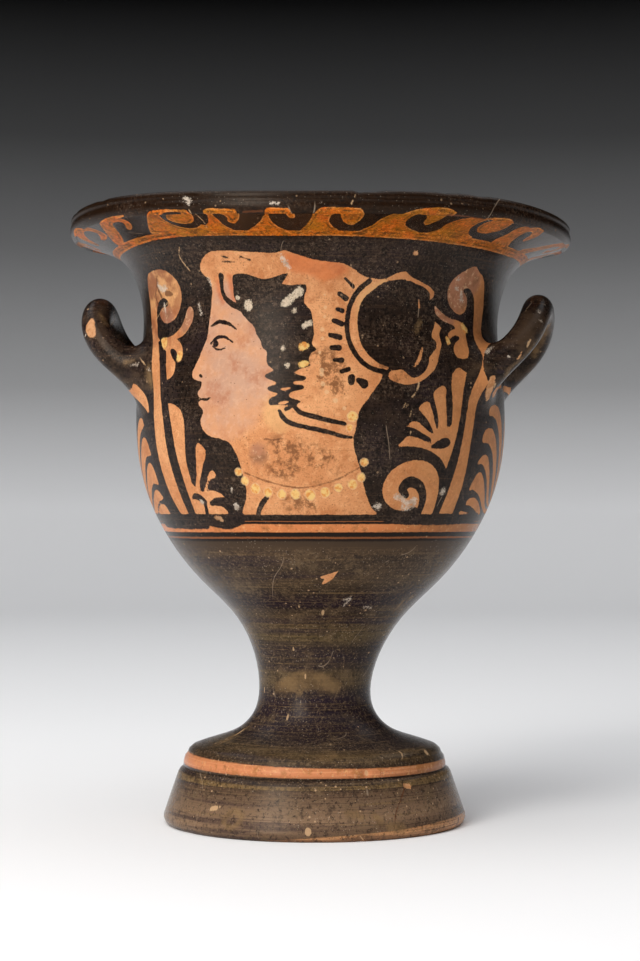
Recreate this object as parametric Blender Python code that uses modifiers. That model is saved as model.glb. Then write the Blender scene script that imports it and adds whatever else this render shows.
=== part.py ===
"""A bell krater: a wheel-thrown bowl for mixing wine, fired in one piece with its stem, foot and handles.

The bowl's mouth flares out like an upturned bell, two looped handles rise from its sides, and the stem
stands on a hollow foot with a raised moulding. The pot is open above, and it leans a little, as the
potter left it. The vessel stands on Z = 0, its mouth is centred over the origin, the handles lie along
X, and the painted front looks along -Y.
"""

import math

import bmesh
import bpy
import numpy as np
from mathutils import Matrix, Vector

MM = 0.001
NAME = "bell_krater"

# Sizes in millimetres. A station is (radius, height) of a point that a smooth curve passes through.
WALL = 5.5
LIP_BEAD_CENTRE = (121.6, 294.4)
LIP_BEAD_RADIUS = 2.4
LIP_ROLL_CENTRE = (119.9, 290.2)
LIP_ROLL_RADIUS = 4.4
OUTER_STATIONS = (
    (121.2, 287.2),
    (110.0, 283.6),
    (100.2, 279.0),
    (93.7, 271.0),
    (89.6, 260.0),
    (88.1, 247.0),
    (89.6, 229.0),
    (91.6, 208.0),
    (91.3, 188.0),
    (87.7, 168.2),
    (77.4, 144.3),
    (59.3, 120.4),
    (41.6, 102.4),
    (31.5, 84.4),
    (27.9, 68.5),
    (29.4, 56.6),
    (36.0, 47.9),
    (53.0, 40.9),
    (60.6, 38.3),
)
MOULDING = ((62.6, 36.6), (63.3, 34.8), (64.6, 33.2), (65.3, 30.4), (65.4, 28.6), (64.9, 27.8))
SKIRT = ((67.0, 26.8), (68.0, 25.2), (71.2, 16.0), (75.1, 4.6), (75.2, 3.0), (74.4, 1.0), (73.2, 0.0))
HOLLOW_STATIONS = (
    (66.0, 0.0),
    (62.6, 9.0),
    (58.4, 20.0),
    (49.0, 30.0),
    (35.0, 37.0),
    (21.0, 44.0),
    (10.0, 50.5),
    (0.0, 53.5),
)
FLOOR_RADIUS = 42.0
FLOOR_HEIGHT = 98.0
FLOOR_POWER = 2.6

# The handles: half the loop's span, and the side view of its middle line as a three-point curve.
# Neither the two loops' turns about Z, in degrees, nor their side views quite match, as they are hand made.
HANDLE_ROD_RADIUS = 7.2
HANDLE_HALF_SPAN = 32.0
HANDLE_TURN = {"right": -4.0, "left": 182.0}
HANDLE_SIDE = {
    "right": ((81.0, 221.5), (107.5, 232.6), (108.8, 255.2)),
    "left": ((81.0, 220.5), (110.6, 231.0), (110.6, 252.8)),
}
HANDLE_FLARE = 0.50
HANDLE_FLARE_REACH = 12.0
HANDLE_TRIM = (185.0, 256.0)

# How far the fired pot has gone out of true.
FOOT_SHIFT = -3.0
FOOT_SHIFT_ZONE = (58.0, 116.0)
RIM_TILT = 0.0150
RIM_TILT_ZONE = (165.0, 270.0)
RIM_WAVE = 1.15
RIM_WAVE_ZONE = (262.0, 288.0)

# How finely the round forms are cut into flat faces.
TURNS = 56
OUTSIDE_TURN_PER_STEP = math.radians(12.0)
INSIDE_TURN_PER_STEP = math.radians(17.0)
HOLLOW_TURN_PER_STEP = math.radians(24.0)
LONGEST_STEP = 16.0
HANDLE_STEPS = 14
HANDLE_SIDES_SETTING = 4

SLIP_BLACK = (0.022, 0.017, 0.015, 1.0)


def clear_scene():
    for thing in list(bpy.data.objects):
        bpy.data.objects.remove(thing)


def collection_named(name):
    collection = bpy.data.collections.new(name)
    bpy.context.scene.collection.children.link(collection)
    return collection


def fired_slip():
    """Black slip over fired clay, half glossy."""
    material = bpy.data.materials.new("fired_slip")
    material.use_nodes = True
    shader = material.node_tree.nodes["Principled BSDF"]
    shader.inputs["Base Color"].default_value = SLIP_BLACK
    shader.inputs["Roughness"].default_value = 0.38
    shader.inputs["Metallic"].default_value = 0.0
    return material


def spline(stations, per_span=24):
    """A natural cubic spline through the stations, as an array of closely spaced points."""
    knots = np.array(stations, float)
    t = np.concatenate([[0.0], np.cumsum(np.linalg.norm(np.diff(knots, axis=0), axis=1))])
    count, width = len(t), np.diff(t)
    system, right = np.eye(count), np.zeros_like(knots)
    for i in range(1, count - 1):
        system[i, i - 1 : i + 2] = width[i - 1], 2 * (width[i - 1] + width[i]), width[i]
        slope_after = (knots[i + 1] - knots[i]) / width[i]
        slope_before = (knots[i] - knots[i - 1]) / width[i - 1]
        right[i] = 6 * (slope_after - slope_before)
    bend = np.linalg.solve(system, right)
    points = []
    for i in range(count - 1):
        for f in np.linspace(0, 1, per_span, endpoint=False):
            a, b = 1 - f, f
            cubic = (a**3 - a) * bend[i] + (b**3 - b) * bend[i + 1]
            points.append(a * knots[i] + b * knots[i + 1] + cubic * width[i] ** 2 / 6)
    points.append(knots[-1])
    return np.array(points)


def arc(centre, radius, start, end, steps):
    """Points on a circle from one angle to another, in degrees, counted from outwards to upwards."""
    angles = np.radians(np.linspace(start, end, steps))
    return np.column_stack([centre[0] + radius * np.cos(angles), centre[1] + radius * np.sin(angles)])


def offset(curve, distance):
    """The curve moved sideways, to the right of the way it runs, by an even distance."""
    along = np.gradient(curve, axis=0)
    along /= np.linalg.norm(along, axis=1)[:, None]
    return curve + distance * np.column_stack([along[:, 1], -along[:, 0]])


def thinned(curve, turn_per_step):
    """The points of a close curve that are enough to follow its bends."""
    kept, turned = [curve[0]], 0.0
    for before, here, after in zip(curve, curve[1:], curve[2:]):
        first, second = here - before, after - here
        turned += abs(math.atan2(first[0] * second[1] - first[1] * second[0], first @ second))
        if turned >= turn_per_step or np.linalg.norm(here - kept[-1]) >= LONGEST_STEP:
            kept.append(here)
            turned = 0.0
    kept.append(curve[-1])
    return np.array(kept)


def outer_curve():
    return spline(OUTER_STATIONS)


def inner_curve():
    """The bowl's inside from the lip down to the axis: an even wall, then a dished floor."""
    wall = offset(outer_curve(), WALL)
    wall = wall[(wall[:, 0] > FLOOR_RADIUS) & (wall[:, 1] > FLOOR_HEIGHT)]
    foot_of_wall = wall[-1]
    radii = np.linspace(foot_of_wall[0], 0.0, 24)[1:]
    rise = (foot_of_wall[1] - FLOOR_HEIGHT) * (radii / foot_of_wall[0]) ** FLOOR_POWER
    return np.vstack([wall, np.column_stack([radii, FLOOR_HEIGHT + rise])])


def section():
    """Half of the vessel's section: up the inside from the axis, over the lip and down the outside."""
    inside = thinned(inner_curve(), INSIDE_TURN_PER_STEP)[::-1]
    bead = arc(LIP_BEAD_CENTRE, LIP_BEAD_RADIUS, 165, -35, 6)
    roll = arc(LIP_ROLL_CENTRE, LIP_ROLL_RADIUS, 27, -60, 4)
    outside = thinned(outer_curve(), OUTSIDE_TURN_PER_STEP)
    hollow = thinned(spline(HOLLOW_STATIONS), HOLLOW_TURN_PER_STEP)
    return np.vstack([inside, bead, roll, outside, MOULDING, SKIRT, hollow])


def line_object(name, points, collection):
    """A bare line of (radius, height) points in the XZ plane, in metres, for a Screw to turn."""
    mesh = bpy.data.meshes.new(name)
    vertices = [(radius * MM, 0.0, height * MM) for radius, height in points]
    mesh.from_pydata(vertices, [(i, i + 1) for i in range(len(points) - 1)], [])
    line = bpy.data.objects.new(name, mesh)
    collection.objects.link(line)
    return line


def turn(line):
    """Turns a line about Z, as on a wheel."""
    screw = line.modifiers.new("Wheel", "SCREW")
    screw.axis = "Z"
    screw.angle = 2 * math.pi
    screw.steps = screw.render_steps = TURNS
    screw.use_merge_vertices = True
    screw.merge_threshold = 0.0001


def throw_vessel(collection):
    vessel = line_object(NAME, section(), collection)
    turn(vessel)
    return vessel


def make_trimmer(collection):
    """A plug that reaches to the middle of the wall, to cut the handles' ends off inside it."""
    middle = offset(outer_curve(), WALL / 2)
    low, high = HANDLE_TRIM
    side = middle[(middle[:, 1] > low) & (middle[:, 1] < high)]
    plug = [[(0.0, side[0, 1])], thinned(side, OUTSIDE_TURN_PER_STEP), [(0.0, side[-1, 1])]]
    trimmer = line_object("handle_trimmer", np.vstack(plug), collection)
    turn(trimmer)
    as_cutter(trimmer)
    return trimmer


def as_cutter(helper):
    helper.hide_render = True
    helper.display_type = "WIRE"


def handle_path(side_view):
    """The middle line of half a loop, from its root in the wall to its tip, with its thickness there."""
    start, control, end = (np.array(point) for point in side_view)
    t = np.linspace(0, 1, 200)[:, None]
    side = (1 - t) ** 2 * start + 2 * t * (1 - t) * control + t**2 * end
    run = np.concatenate([[0.0], np.cumsum(np.linalg.norm(np.diff(side, axis=0), axis=1))])
    straight = run[-1] - HANDLE_HALF_SPAN
    arms = np.linspace(0.0, straight, HANDLE_STEPS // 3, endpoint=False)
    turns = np.radians(np.linspace(0.0, 90.0, HANDLE_STEPS - len(arms)))
    reach = np.concatenate([arms, straight + HANDLE_HALF_SPAN * np.sin(turns)])
    sideways = np.concatenate([np.full(len(arms), HANDLE_HALF_SPAN), HANDLE_HALF_SPAN * np.cos(turns)])
    outwards, upwards = (np.interp(reach, run, side[:, axis]) for axis in (0, 1))
    thickness = 1 + HANDLE_FLARE * np.exp(-((reach / HANDLE_FLARE_REACH) ** 2))
    return np.column_stack([outwards, sideways, upwards, thickness])


def handle(side, collection):
    """One looped handle as a round rod, turned to its own side of the bowl."""
    half = handle_path(HANDLE_SIDE[side])
    other_half = half[-2::-1] * (1, -1, 1, 1)
    loop = np.vstack([half, other_half])
    curve = bpy.data.curves.new(f"handle_{side}", "CURVE")
    curve.dimensions = "3D"
    curve.bevel_depth = HANDLE_ROD_RADIUS * MM
    curve.bevel_resolution = HANDLE_SIDES_SETTING
    curve.use_fill_caps = True
    rail = curve.splines.new("POLY")
    rail.points.add(len(loop) - 1)
    to_its_side = Matrix.Rotation(math.radians(HANDLE_TURN[side]), 3, "Z")
    for point, (x, y, z, thickness) in zip(rail.points, loop):
        point.co = (*(to_its_side @ Vector((x, y, z)) * MM), 1.0)
        point.radius = thickness
    rod = bpy.data.objects.new(curve.name, curve)
    collection.objects.link(rod)
    return as_mesh(rod, collection)


def as_mesh(thing, collection):
    """A new mesh object in place of the given one, with what its modifiers make."""
    bpy.context.view_layer.update()
    graph = bpy.context.evaluated_depsgraph_get()
    mesh = bpy.data.meshes.new_from_object(thing.evaluated_get(graph))
    shape = bmesh.new()
    shape.from_mesh(mesh)
    bmesh.ops.remove_doubles(shape, verts=shape.verts, dist=0.00001)
    shape.to_mesh(mesh)
    shape.free()
    name, matrix = thing.name, thing.matrix_world.copy()
    bpy.data.objects.remove(thing)
    solid = bpy.data.objects.new(name, mesh)
    solid.matrix_world = matrix
    collection.objects.link(solid)
    return solid


def boolean(thing, other, operation):
    modifier = thing.modifiers.new(f"{operation} {other.name}", "BOOLEAN")
    modifier.operation = operation
    modifier.solver = "EXACT"
    modifier.object = other


def ease(value, zone):
    """0 below a zone, 1 above it, and a smooth step between."""
    t = min(max((value - zone[0]) / (zone[1] - zone[0]), 0.0), 1.0)
    return t * t * (3 - 2 * t)


def settle(mesh):
    """Moves the stem and foot sideways under the bowl, tips the rim to one side and lets it wave."""
    for vertex in mesh.vertices:
        x, height = vertex.co.x, vertex.co.z / MM
        wave = RIM_WAVE * (1 - math.cos(4 * math.atan2(vertex.co.y, x)))
        vertex.co.z += wave * MM * ease(height, RIM_WAVE_ZONE)
        vertex.co.z -= x * RIM_TILT * ease(height, RIM_TILT_ZONE)
        vertex.co.x += FOOT_SHIFT * MM * (1 - ease(height, FOOT_SHIFT_ZONE))


def make_krater():
    pots = collection_named(NAME)
    helpers = collection_named("cutters")
    vessel = throw_vessel(pots)
    trimmer = make_trimmer(helpers)
    for side in HANDLE_TURN:
        loop = handle(side, helpers)
        as_cutter(loop)
        boolean(loop, trimmer, "DIFFERENCE")
        boolean(vessel, loop, "UNION")
    vessel = as_mesh(vessel, pots)
    settle(vessel.data)
    vessel.data.materials.clear()
    vessel.data.materials.append(fired_slip())
    vessel.data.shade_smooth()
    vessel.data.set_sharp_from_angle(angle=math.radians(40))
    return vessel


def main():
    clear_scene()
    make_krater()


if __name__ == "__main__":
    main()
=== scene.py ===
"""A red-figure bell krater dressed for viewing: the thrown and fired pot with its painting, wear and studio.

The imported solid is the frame. One fine closed mesh of the same section and handles stands for it. The
painting lies on that mesh as signed distances in millimetres, one vertex attribute for each paint, which
the material turns into brushed edges.
"""

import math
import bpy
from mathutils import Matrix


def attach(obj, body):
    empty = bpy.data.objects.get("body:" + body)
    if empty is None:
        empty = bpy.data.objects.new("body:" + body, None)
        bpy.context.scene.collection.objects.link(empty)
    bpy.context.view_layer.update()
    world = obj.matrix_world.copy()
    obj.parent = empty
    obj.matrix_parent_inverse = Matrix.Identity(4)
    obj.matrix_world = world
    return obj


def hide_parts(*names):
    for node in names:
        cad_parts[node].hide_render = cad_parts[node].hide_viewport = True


bl_info = {
    "name": "Bell Krater",
    "version": (1, 0, 0),
    "blender": (4, 5, 0),
    "location": "3D View > Sidebar > Krater",
    "description": "Builds a red-figure bell krater around its packed solid, with its painting and a plain studio",
    "category": "Object",
}

import bmesh
import bpy
import numpy as np
from bpy.props import FloatProperty, FloatVectorProperty, IntProperty, PointerProperty
from mathutils import Matrix, Vector

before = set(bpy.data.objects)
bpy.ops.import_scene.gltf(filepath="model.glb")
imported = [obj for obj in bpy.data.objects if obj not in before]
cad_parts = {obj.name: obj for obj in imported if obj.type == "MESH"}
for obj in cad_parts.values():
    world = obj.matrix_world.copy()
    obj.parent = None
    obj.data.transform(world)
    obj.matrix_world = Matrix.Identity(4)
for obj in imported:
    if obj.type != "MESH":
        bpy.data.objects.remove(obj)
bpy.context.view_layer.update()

MM = 0.001
PIECE = "bell_krater"

# Sections in millimetres. A station is the (radius, height) of a point that a smooth curve passes through.
LIP_BEAD = ((121.6, 294.4), 2.375, 165, -35)
LIP_ROLL = ((119.9, 290.2), 4.4, 27, -60)
OUTER_STATIONS = (
    (121.2, 287.2), (110.0, 283.6), (100.2, 279.0), (93.7, 271.0), (89.6, 260.0), (88.1, 247.0),
    (89.6, 229.0), (91.6, 208.0), (91.3, 188.0), (87.7, 168.2), (77.4, 144.3), (59.3, 120.4),
    (41.6, 102.4), (31.5, 84.4), (27.9, 68.5), (29.4, 56.6), (36.0, 47.9), (53.0, 40.9), (60.6, 38.3),
)
MOULDING = ((62.6, 36.6), (63.3, 34.8), (64.6, 33.2), (65.3, 30.4), (65.4, 28.6), (64.9, 27.8))
SKIRT = ((67.0, 26.8), (68.0, 25.2), (71.2, 16.0), (75.1, 4.6), (75.2, 3.0), (74.4, 1.0), (73.2, 0.0))
HOLLOW_STATIONS = (
    (66.0, 0.0), (62.6, 9.0), (58.4, 20.0), (49.0, 30.0), (35.0, 37.0), (21.0, 44.0), (10.0, 50.5), (0.0, 53.5),
)
FLOOR_RADIUS, FLOOR_HEIGHT, FLOOR_POWER = 42.0, 98.0, 2.6
JUNCTION_HEIGHT = 278.6
ROOT_PAINT = 6.0  # How far from the wall the wall's painting still reaches on the clay of a handle's root.
WALL_PAINT = 1.0  # The same on the wall itself and on the lip.
LIP_OVERLAP = 6.0  # How far the lip's painting reaches down past the junction.

HANDLE_HALF_SPAN = 32.0
HANDLE_TURN = {"right": -4.0, "left": 182.0}
HANDLE_SIDE = {
    "right": ((81.0, 221.5), (107.5, 232.6), (108.8, 255.2)),
    "left": ((81.0, 220.5), (110.6, 231.0), (110.6, 252.8)),
}
HANDLE_FLARE, HANDLE_FLARE_REACH = 0.50, 12.0
HANDLE_TRIM = (185.0, 256.0)
FOOT_SHIFT_ZONE, RIM_TILT_ZONE, RIM_WAVE_ZONE = (58.0, 116.0), (165.0, 270.0), (262.0, 288.0)

# The painter's field: girth is measured along a circle of GIRTH_RADIUS from the middle of the front,
# towards +X, and the lip's own run along one of LIP_RADIUS.
GIRTH_RADIUS, LIP_RADIUS = 91.0, 112.0
HALF_ROUND = math.pi * GIRTH_RADIUS
PAINTS = (
    "clay", "white", "gold", "pale", "black", "brown", "wash", "bleach", "tarnish", "skin", "stain", "worn", "chips",
    "chalk",
)

# The drawing. Every outline is (girth, height) in millimetres; a point with a third value is a corner.
# A brushed line is (girth, height, half its width).
LEFT_STEM = (
    (-76.6, 153.2, 0), (-80.3, 162.7), (-83.0, 174.5), (-84.4, 182), (-86.2, 200), (-87.0, 210), (-89.1, 220),
    (-91.6, 230), (-94.5, 236.5), (-97.3, 241), (-99.3, 247), (-99.7, 253), (-98.9, 260), (-94.4, 266.4),
    (-85.3, 268.2), (-76.2, 267.7), (-68.9, 263.6), (-66.2, 258.2), (-66.6, 253.6), (-68.9, 248.6),
    (-72.5, 245), (-78.9, 243.4), (-83.5, 244.4), (-86.2, 246.4), (-87.3, 248.6), (-84.8, 250.8),
    (-80.7, 251.1), (-78.4, 251.9), (-78.2, 253.8), (-81.6, 255.3), (-85.7, 254.8), (-89.4, 252.7),
    (-90.9, 249.5), (-90.9, 245.5), (-89.8, 240.9), (-88.0, 236), (-85.3, 230), (-82.3, 220), (-80.1, 210),
    (-77.7, 200), (-74.5, 180), (-72.5, 170), (-70.7, 160), (-69.4, 153.2, 0),
)
RIGHT_STEM = (
    (88.5, 153.4, 0), (89.9, 170.9), (90.4, 181.8), (92.3, 194.5), (95.6, 208.2), (97.9, 216.4), (99.7, 222),
    (101.3, 229.1), (103.8, 236.4), (105.7, 242), (107.6, 248.2), (108.3, 253.6), (107.2, 258.2),
    (104.9, 263.4), (101.0, 267.2), (95.8, 269.1), (91.3, 270.9), (84.9, 268.4), (80.2, 265.8), (77.2, 262.5),
    (76.1, 258.2), (77.6, 253.4), (81.0, 250), (84.9, 248.5), (88.7, 249.2), (91.2, 251.8), (91.3, 255.5),
    (89.3, 258.3), (86.3, 259.5, 0), (88.0, 260.8), (91.0, 261.3), (94.9, 259.5), (97.6, 256.2),
    (98.5, 251.8), (98.3, 245.5), (97.2, 240), (95.8, 231.8), (94.1, 225), (90.6, 213.6), (88.0, 204.5),
    (85.4, 193.6), (83.3, 182.5), (81.3, 172.7), (79.3, 162.7), (77.5, 153.4, 0),
)
LEFT_FAN = (
    ((-108.5, 153.2, 0), (-103, 155.6), (-98, 157.5), (-93, 158.1), (-90, 156.7), (-88.4, 153.2, 0)),
    ((-142.94, 155), (-128, 154.8), (-116, 156), (-108, 159.6), (-102, 162.9), (-96.5, 165), (-92.5, 164),
     (-89.3, 160.7, 0), (-94, 160), (-99, 158.8), (-104, 156.6), (-110, 153.6, 0), (-142.94, 153.2, 0)),
    ((-142.94, 158, 0), (-130, 158.5), (-119, 161.5), (-111, 167), (-106, 171.5), (-102, 175.5), (-98, 177.7),
     (-94, 177.2), (-91.2, 173), (-90.3, 167.2, 0), (-94, 167.8), (-98, 167.8), (-102, 166), (-107, 162.9),
     (-114, 159), (-124, 156.2), (-142.94, 156, 0)),
    ((-142.94, 161, 0), (-131, 163.5), (-121, 170), (-114, 177.5), (-108.5, 184.5), (-104, 189.2), (-99.5, 190.1),
     (-95.7, 187.6), (-92.2, 181.5, 0), (-96, 181.2), (-100, 180.7), (-104, 177.6), (-109, 172),
     (-115.5, 166), (-125, 161), (-142.94, 159, 0)),
    ((-142.94, 163.5, 0), (-134, 168), (-126, 177), (-119, 188), (-113.5, 196), (-108, 199.4), (-103, 199.2),
     (-100, 197.2), (-98.7, 194.4, 0), (-103, 194.2), (-107.5, 191.7), (-112, 186), (-118, 177.5),
     (-126, 168.5), (-142.94, 162, 0)),
    ((-142.94, 164, 0), (-138.5, 172), (-136, 184), (-137, 196), (-142.94, 203, 0)),
    ((-113.5, 211.6, 0), (-108.5, 215.4), (-104, 216.8), (-99.8, 215.6), (-96, 211.5), (-93.4, 206.5),
     (-91.7, 199.8, 0), (-95, 202.6), (-99, 204.9), (-103, 207.6), (-108, 210.6)),
)
RIGHT_FAN = (
    ((93.4, 152.9, 0), (94.6, 154.4), (100, 154.3), (108, 153.4), (118, 152.7, 0)),
    ((97.4, 158.1), (99, 160.3), (103, 161.1), (108, 160.2), (114, 157.9), (119.5, 155.2), (124, 153, 0),
     (119, 153.2), (114, 154.3), (108, 155.9), (102, 157.4)),
    ((96.6, 164.4), (98.3, 169), (101.3, 172.7), (104.6, 173.1), (108.5, 170.6), (113, 166.5), (118, 162),
     (124, 158), (131, 156), (142.94, 155.5, 0), (142.94, 153.4, 0), (131, 153.9), (123, 155.8), (116, 158.6),
     (110, 161.7), (104, 164), (99.5, 164.9)),
    ((98.9, 176.6), (101.8, 180.3), (106, 181.8), (110, 180.2), (114, 175.2), (119, 168.5), (125, 162.5),
     (133, 158.8), (142.94, 158, 0), (142.94, 156.6, 0), (132, 157.4), (125, 159.6), (119.5, 163.6),
     (113.5, 170), (108, 175), (103, 177.2)),
    ((101.4, 187.9), (103.4, 193), (107.5, 194.7), (112.5, 194.2), (117, 190.6), (121.5, 183), (127, 173),
     (134, 164.5), (142.94, 160.8, 0), (142.94, 159.2, 0), (133, 161), (125.5, 167), (119.5, 175.5),
     (114, 183.2), (108.5, 187)),
    ((107.9, 201.2), (108.6, 204.6), (113, 206.1), (120, 205.8), (125, 202), (129, 194), (133, 182),
     (137.5, 171), (142.94, 163.6, 0), (142.94, 161.8, 0), (135.5, 166.5), (129.5, 176.5), (124.5, 188),
     (120, 196), (114.5, 200.3)),
    ((142.94, 165, 0), (139.6, 172), (136.8, 184), (137.6, 197), (142.94, 204, 0)),
    ((104.8, 211.8), (106, 216.6), (109.6, 220), (114, 220.8), (118, 218.8), (124, 217.7), (132, 218),
     (132, 216.2), (124, 214.8), (117, 213), (111.5, 210.3), (107.5, 209.6)),
)
HEAD = (
    (-49.5, 264.5), (-50.4, 266.6), (-49.0, 269.3), (-45.9, 271.8), (-42.3, 273.2), (-36.8, 273.6),
    (-27.7, 273.2), (-18.6, 272.7), (-10.5, 272.5), (-6.8, 273.4), (-4.5, 273), (0.0, 271.5), (6.8, 269.5),
    (14.1, 268.6), (19.5, 268.1), (24.1, 266.3), (29.5, 262.9), (33.5, 262.1), (39.5, 261.9), (43.0, 263.3),
    (46.6, 265.1), (50.2, 265.6), (53.5, 263.4, 0), (52.0, 250), (50.0, 228), (39.2, 218.7, 0), (37.4, 214.6),
    (34.1, 210), (30.9, 205.5), (27.4, 200.7), (26.2, 196), (25.7, 192), (24.5, 188.2, 0), (25.1, 183.6),
    (26.5, 178.9), (28.6, 172.7), (30.5, 166.4), (32.7, 160.9), (36.2, 155.7), (40.0, 152.9, 0),
    (-32.9, 152.9, 0), (-30.4, 156.6), (-28.5, 160.2), (-27.6, 164.6), (-28.2, 170), (-29.7, 177.4),
    (-31.5, 182), (-34.0, 186.0), (-38.8, 187.9), (-43.6, 188.9), (-47.2, 190.7), (-49.6, 193.8),
    (-49.9, 197.4), (-48.3, 200.6), (-49.3, 202.3), (-51.2, 203.6), (-51.3, 205.1), (-49.2, 206.5, 0),
    (-51.8, 208.1), (-52.0, 209.7), (-50.0, 212.2), (-49.8, 214.8, 0), (-52.8, 215.3), (-55.8, 216.8),
    (-56.2, 218.9), (-53.8, 223.4), (-50.6, 229.9), (-48.3, 235.6), (-47.9, 239.5), (-47.3, 245),
    (-46.3, 251), (-45.4, 257.3), (-45.9, 261.8, 0),
)
HAIR = (
    (-32.9, 262.7), (-31.2, 263.6), (-27.7, 263.8), (-23.2, 262.7), (-18.6, 261.2), (-14.1, 261.4),
    (-9.5, 262.7), (-5.3, 263.7, 0), (-6.8, 261.4), (-8.6, 258.7, 0), (-4.1, 258.2), (-0.5, 258.6),
    (2.7, 258.6, 0), (3.0, 256.2), (1.8, 252.7), (2.1, 250), (5.0, 246.4), (6.1, 240), (6.4, 235.5),
    (5.7, 231.4), (7.7, 228.6, 0), (5.0, 226.6), (4.2, 223.8), (5.0, 221.3, 0), (2.7, 220.3), (-0.8, 219.2),
    (-2.9, 217.7, 0), (-0.4, 216.9), (1.9, 216.4), (3.0, 215.6), (2.3, 214.6), (0.0, 214.2), (-2.3, 214.0),
    (-3.3, 213.2, 0), (-2.5, 212.5), (-0.4, 212.4), (1.5, 212.1), (2.2, 211.3), (1.6, 210.5), (-0.4, 209.8),
    (-3.0, 209.2), (-4.6, 208.3), (-5.1, 207.4, 0), (-3.8, 206.3), (-1.5, 205.6), (0.4, 205.0), (0.9, 204.5, 0),
    (-0.3, 203.9), (-1.3, 203.0), (-3.6, 201.4), (-4.9, 200.6), (-6.9, 200.2, 0), (-6.9, 201.8), (-5.7, 202.5),
    (-4.6, 202.8, 0), (-6.4, 203.1), (-10.7, 203.1), (-13.5, 202.8, 0), (-14.5, 204.6), (-13.1, 206.5),
    (-11.1, 207.3), (-10.2, 208.3), (-11.2, 208.8, 0), (-13.1, 209.3), (-14.9, 210.3), (-14.9, 211.1),
    (-13.2, 212.0), (-11.2, 212.6), (-10.8, 213.4, 0), (-12.8, 214.4), (-15.2, 215.3), (-16.4, 216.2),
    (-16.1, 217.1), (-14.1, 218.2), (-12.2, 219.0), (-13.0, 219.9, 0), (-14.2, 220.6), (-15.2, 221.6),
    (-16.0, 224.6), (-15.7, 227.3), (-18.2, 230), (-19.4, 233.2), (-21.4, 235.9), (-22.5, 239.1), (-25.9, 242.3),
    (-28.6, 245), (-30.5, 248.2), (-32.9, 252.7), (-33.4, 258.2),
)
BUN = (
    (40.0, 260.5), (34.5, 256.8), (29.5, 251.8), (27.3, 244.5), (27.3, 237.3), (29.3, 230.5), (33.8, 225),
    (40.0, 221.6), (46.4, 220.6), (49.1, 219.7), (51.0, 217.8), (54.5, 216.7), (60.9, 219.3), (66.4, 225.5),
    (69.5, 231.4), (69.1, 235), (66.4, 235.8, 0), (68.2, 240), (68.0, 244.5, 0), (68.2, 249.1), (67.3, 253.4),
    (64.5, 255.3), (66.2, 256.8), (65.3, 258.6), (61.4, 260.7), (57.3, 261.5), (52.7, 262.6), (49.1, 262.4),
    (44.5, 261.6),
)
BUN_ROLL = (
    (68.8, 244.2, 0), (73.0, 241.2, 0), (71.2, 238.4), (71.8, 235.6), (72.3, 233.3, 0), (70.1, 227.9),
    (67.6, 222.3), (62.8, 217.9), (57.0, 214.6), (51.6, 213.3), (45.8, 214.1), (41.5, 215.9, 0), (42.2, 218.9),
    (46.0, 219.8), (48.9, 220.2), (51.5, 218.0), (54.4, 216.6), (57.8, 217.8), (60.8, 219.8), (63.2, 222.9),
    (63.9, 226.2), (66.8, 229.4), (68.9, 231.5), (68.8, 234.4), (66.3, 236.3, 0), (66.9, 239.0), (68.2, 241.3),
)
BUN_RIM = (
    (50.2, 265.8), (53.3, 263.6), (57.7, 262.3), (61.4, 261.0), (65.4, 259.4), (67.8, 257.0), (66.6, 254.6),
    (64.8, 253.4, 0), (65.2, 256.4), (63.8, 258.0), (60.8, 259.7), (57.1, 260.6), (53.5, 261.8), (50.8, 261.6, 0),
)
DEEP_BAND = (
    (-6.6, 272.6, 0), (0.9, 272.2), (9.8, 270.2), (17.9, 268.5), (22.1, 265.3), (19.5, 263.1), (13.0, 260.3),
    (10.7, 260.3), (2.8, 263.2), (-4.1, 264.6), (-5.9, 267.7, 0),
)
BLOSSOM = (
    (-84.6, 236.1), (-81.5, 236.4), (-76.5, 236.7), (-71.4, 238.1), (-67.2, 240.9), (-64.4, 245),
    (-62.5, 248.8), (-60.7, 250.2), (-58.6, 249), (-58.2, 245.6), (-59.8, 241.8), (-62.6, 238.6),
    (-66.2, 236.3), (-69.8, 235.4, 0), (-66.9, 233.6), (-64.7, 230.8), (-64, 227.4), (-65.2, 225),
    (-67.6, 224.2), (-69.1, 225.2, 0), (-69.1, 222), (-69.9, 219.2), (-72.2, 217.2), (-75.1, 216.4, 0),
    (-76.3, 221.6), (-77.5, 227.2), (-78.7, 230.8), (-81.1, 231.0), (-83.2, 233.6),
)
LEFT_LEAF = (
    (-72.8, 205.4, 0), (-70, 205.1), (-66.5, 203.9), (-63, 201.6), (-61.2, 197.5), (-60.7, 190), (-61.1, 183),
    (-61.3, 176.6), (-60.3, 171.6), (-59.7, 167.4), (-57.5, 165.5), (-55.5, 164.2), (-51.6, 163.4),
    (-48, 164.2), (-43.5, 163.2), (-39.7, 160.5, 0), (-44.5, 160.9), (-49, 159.6), (-50.2, 158), (-46.5, 157),
    (-42.6, 156.3), (-40.2, 153.2, 0), (-63.5, 153.2, 0), (-64, 159), (-65.8, 171), (-68, 182), (-70.1, 194),
    (-71.7, 200.4),
)
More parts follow.
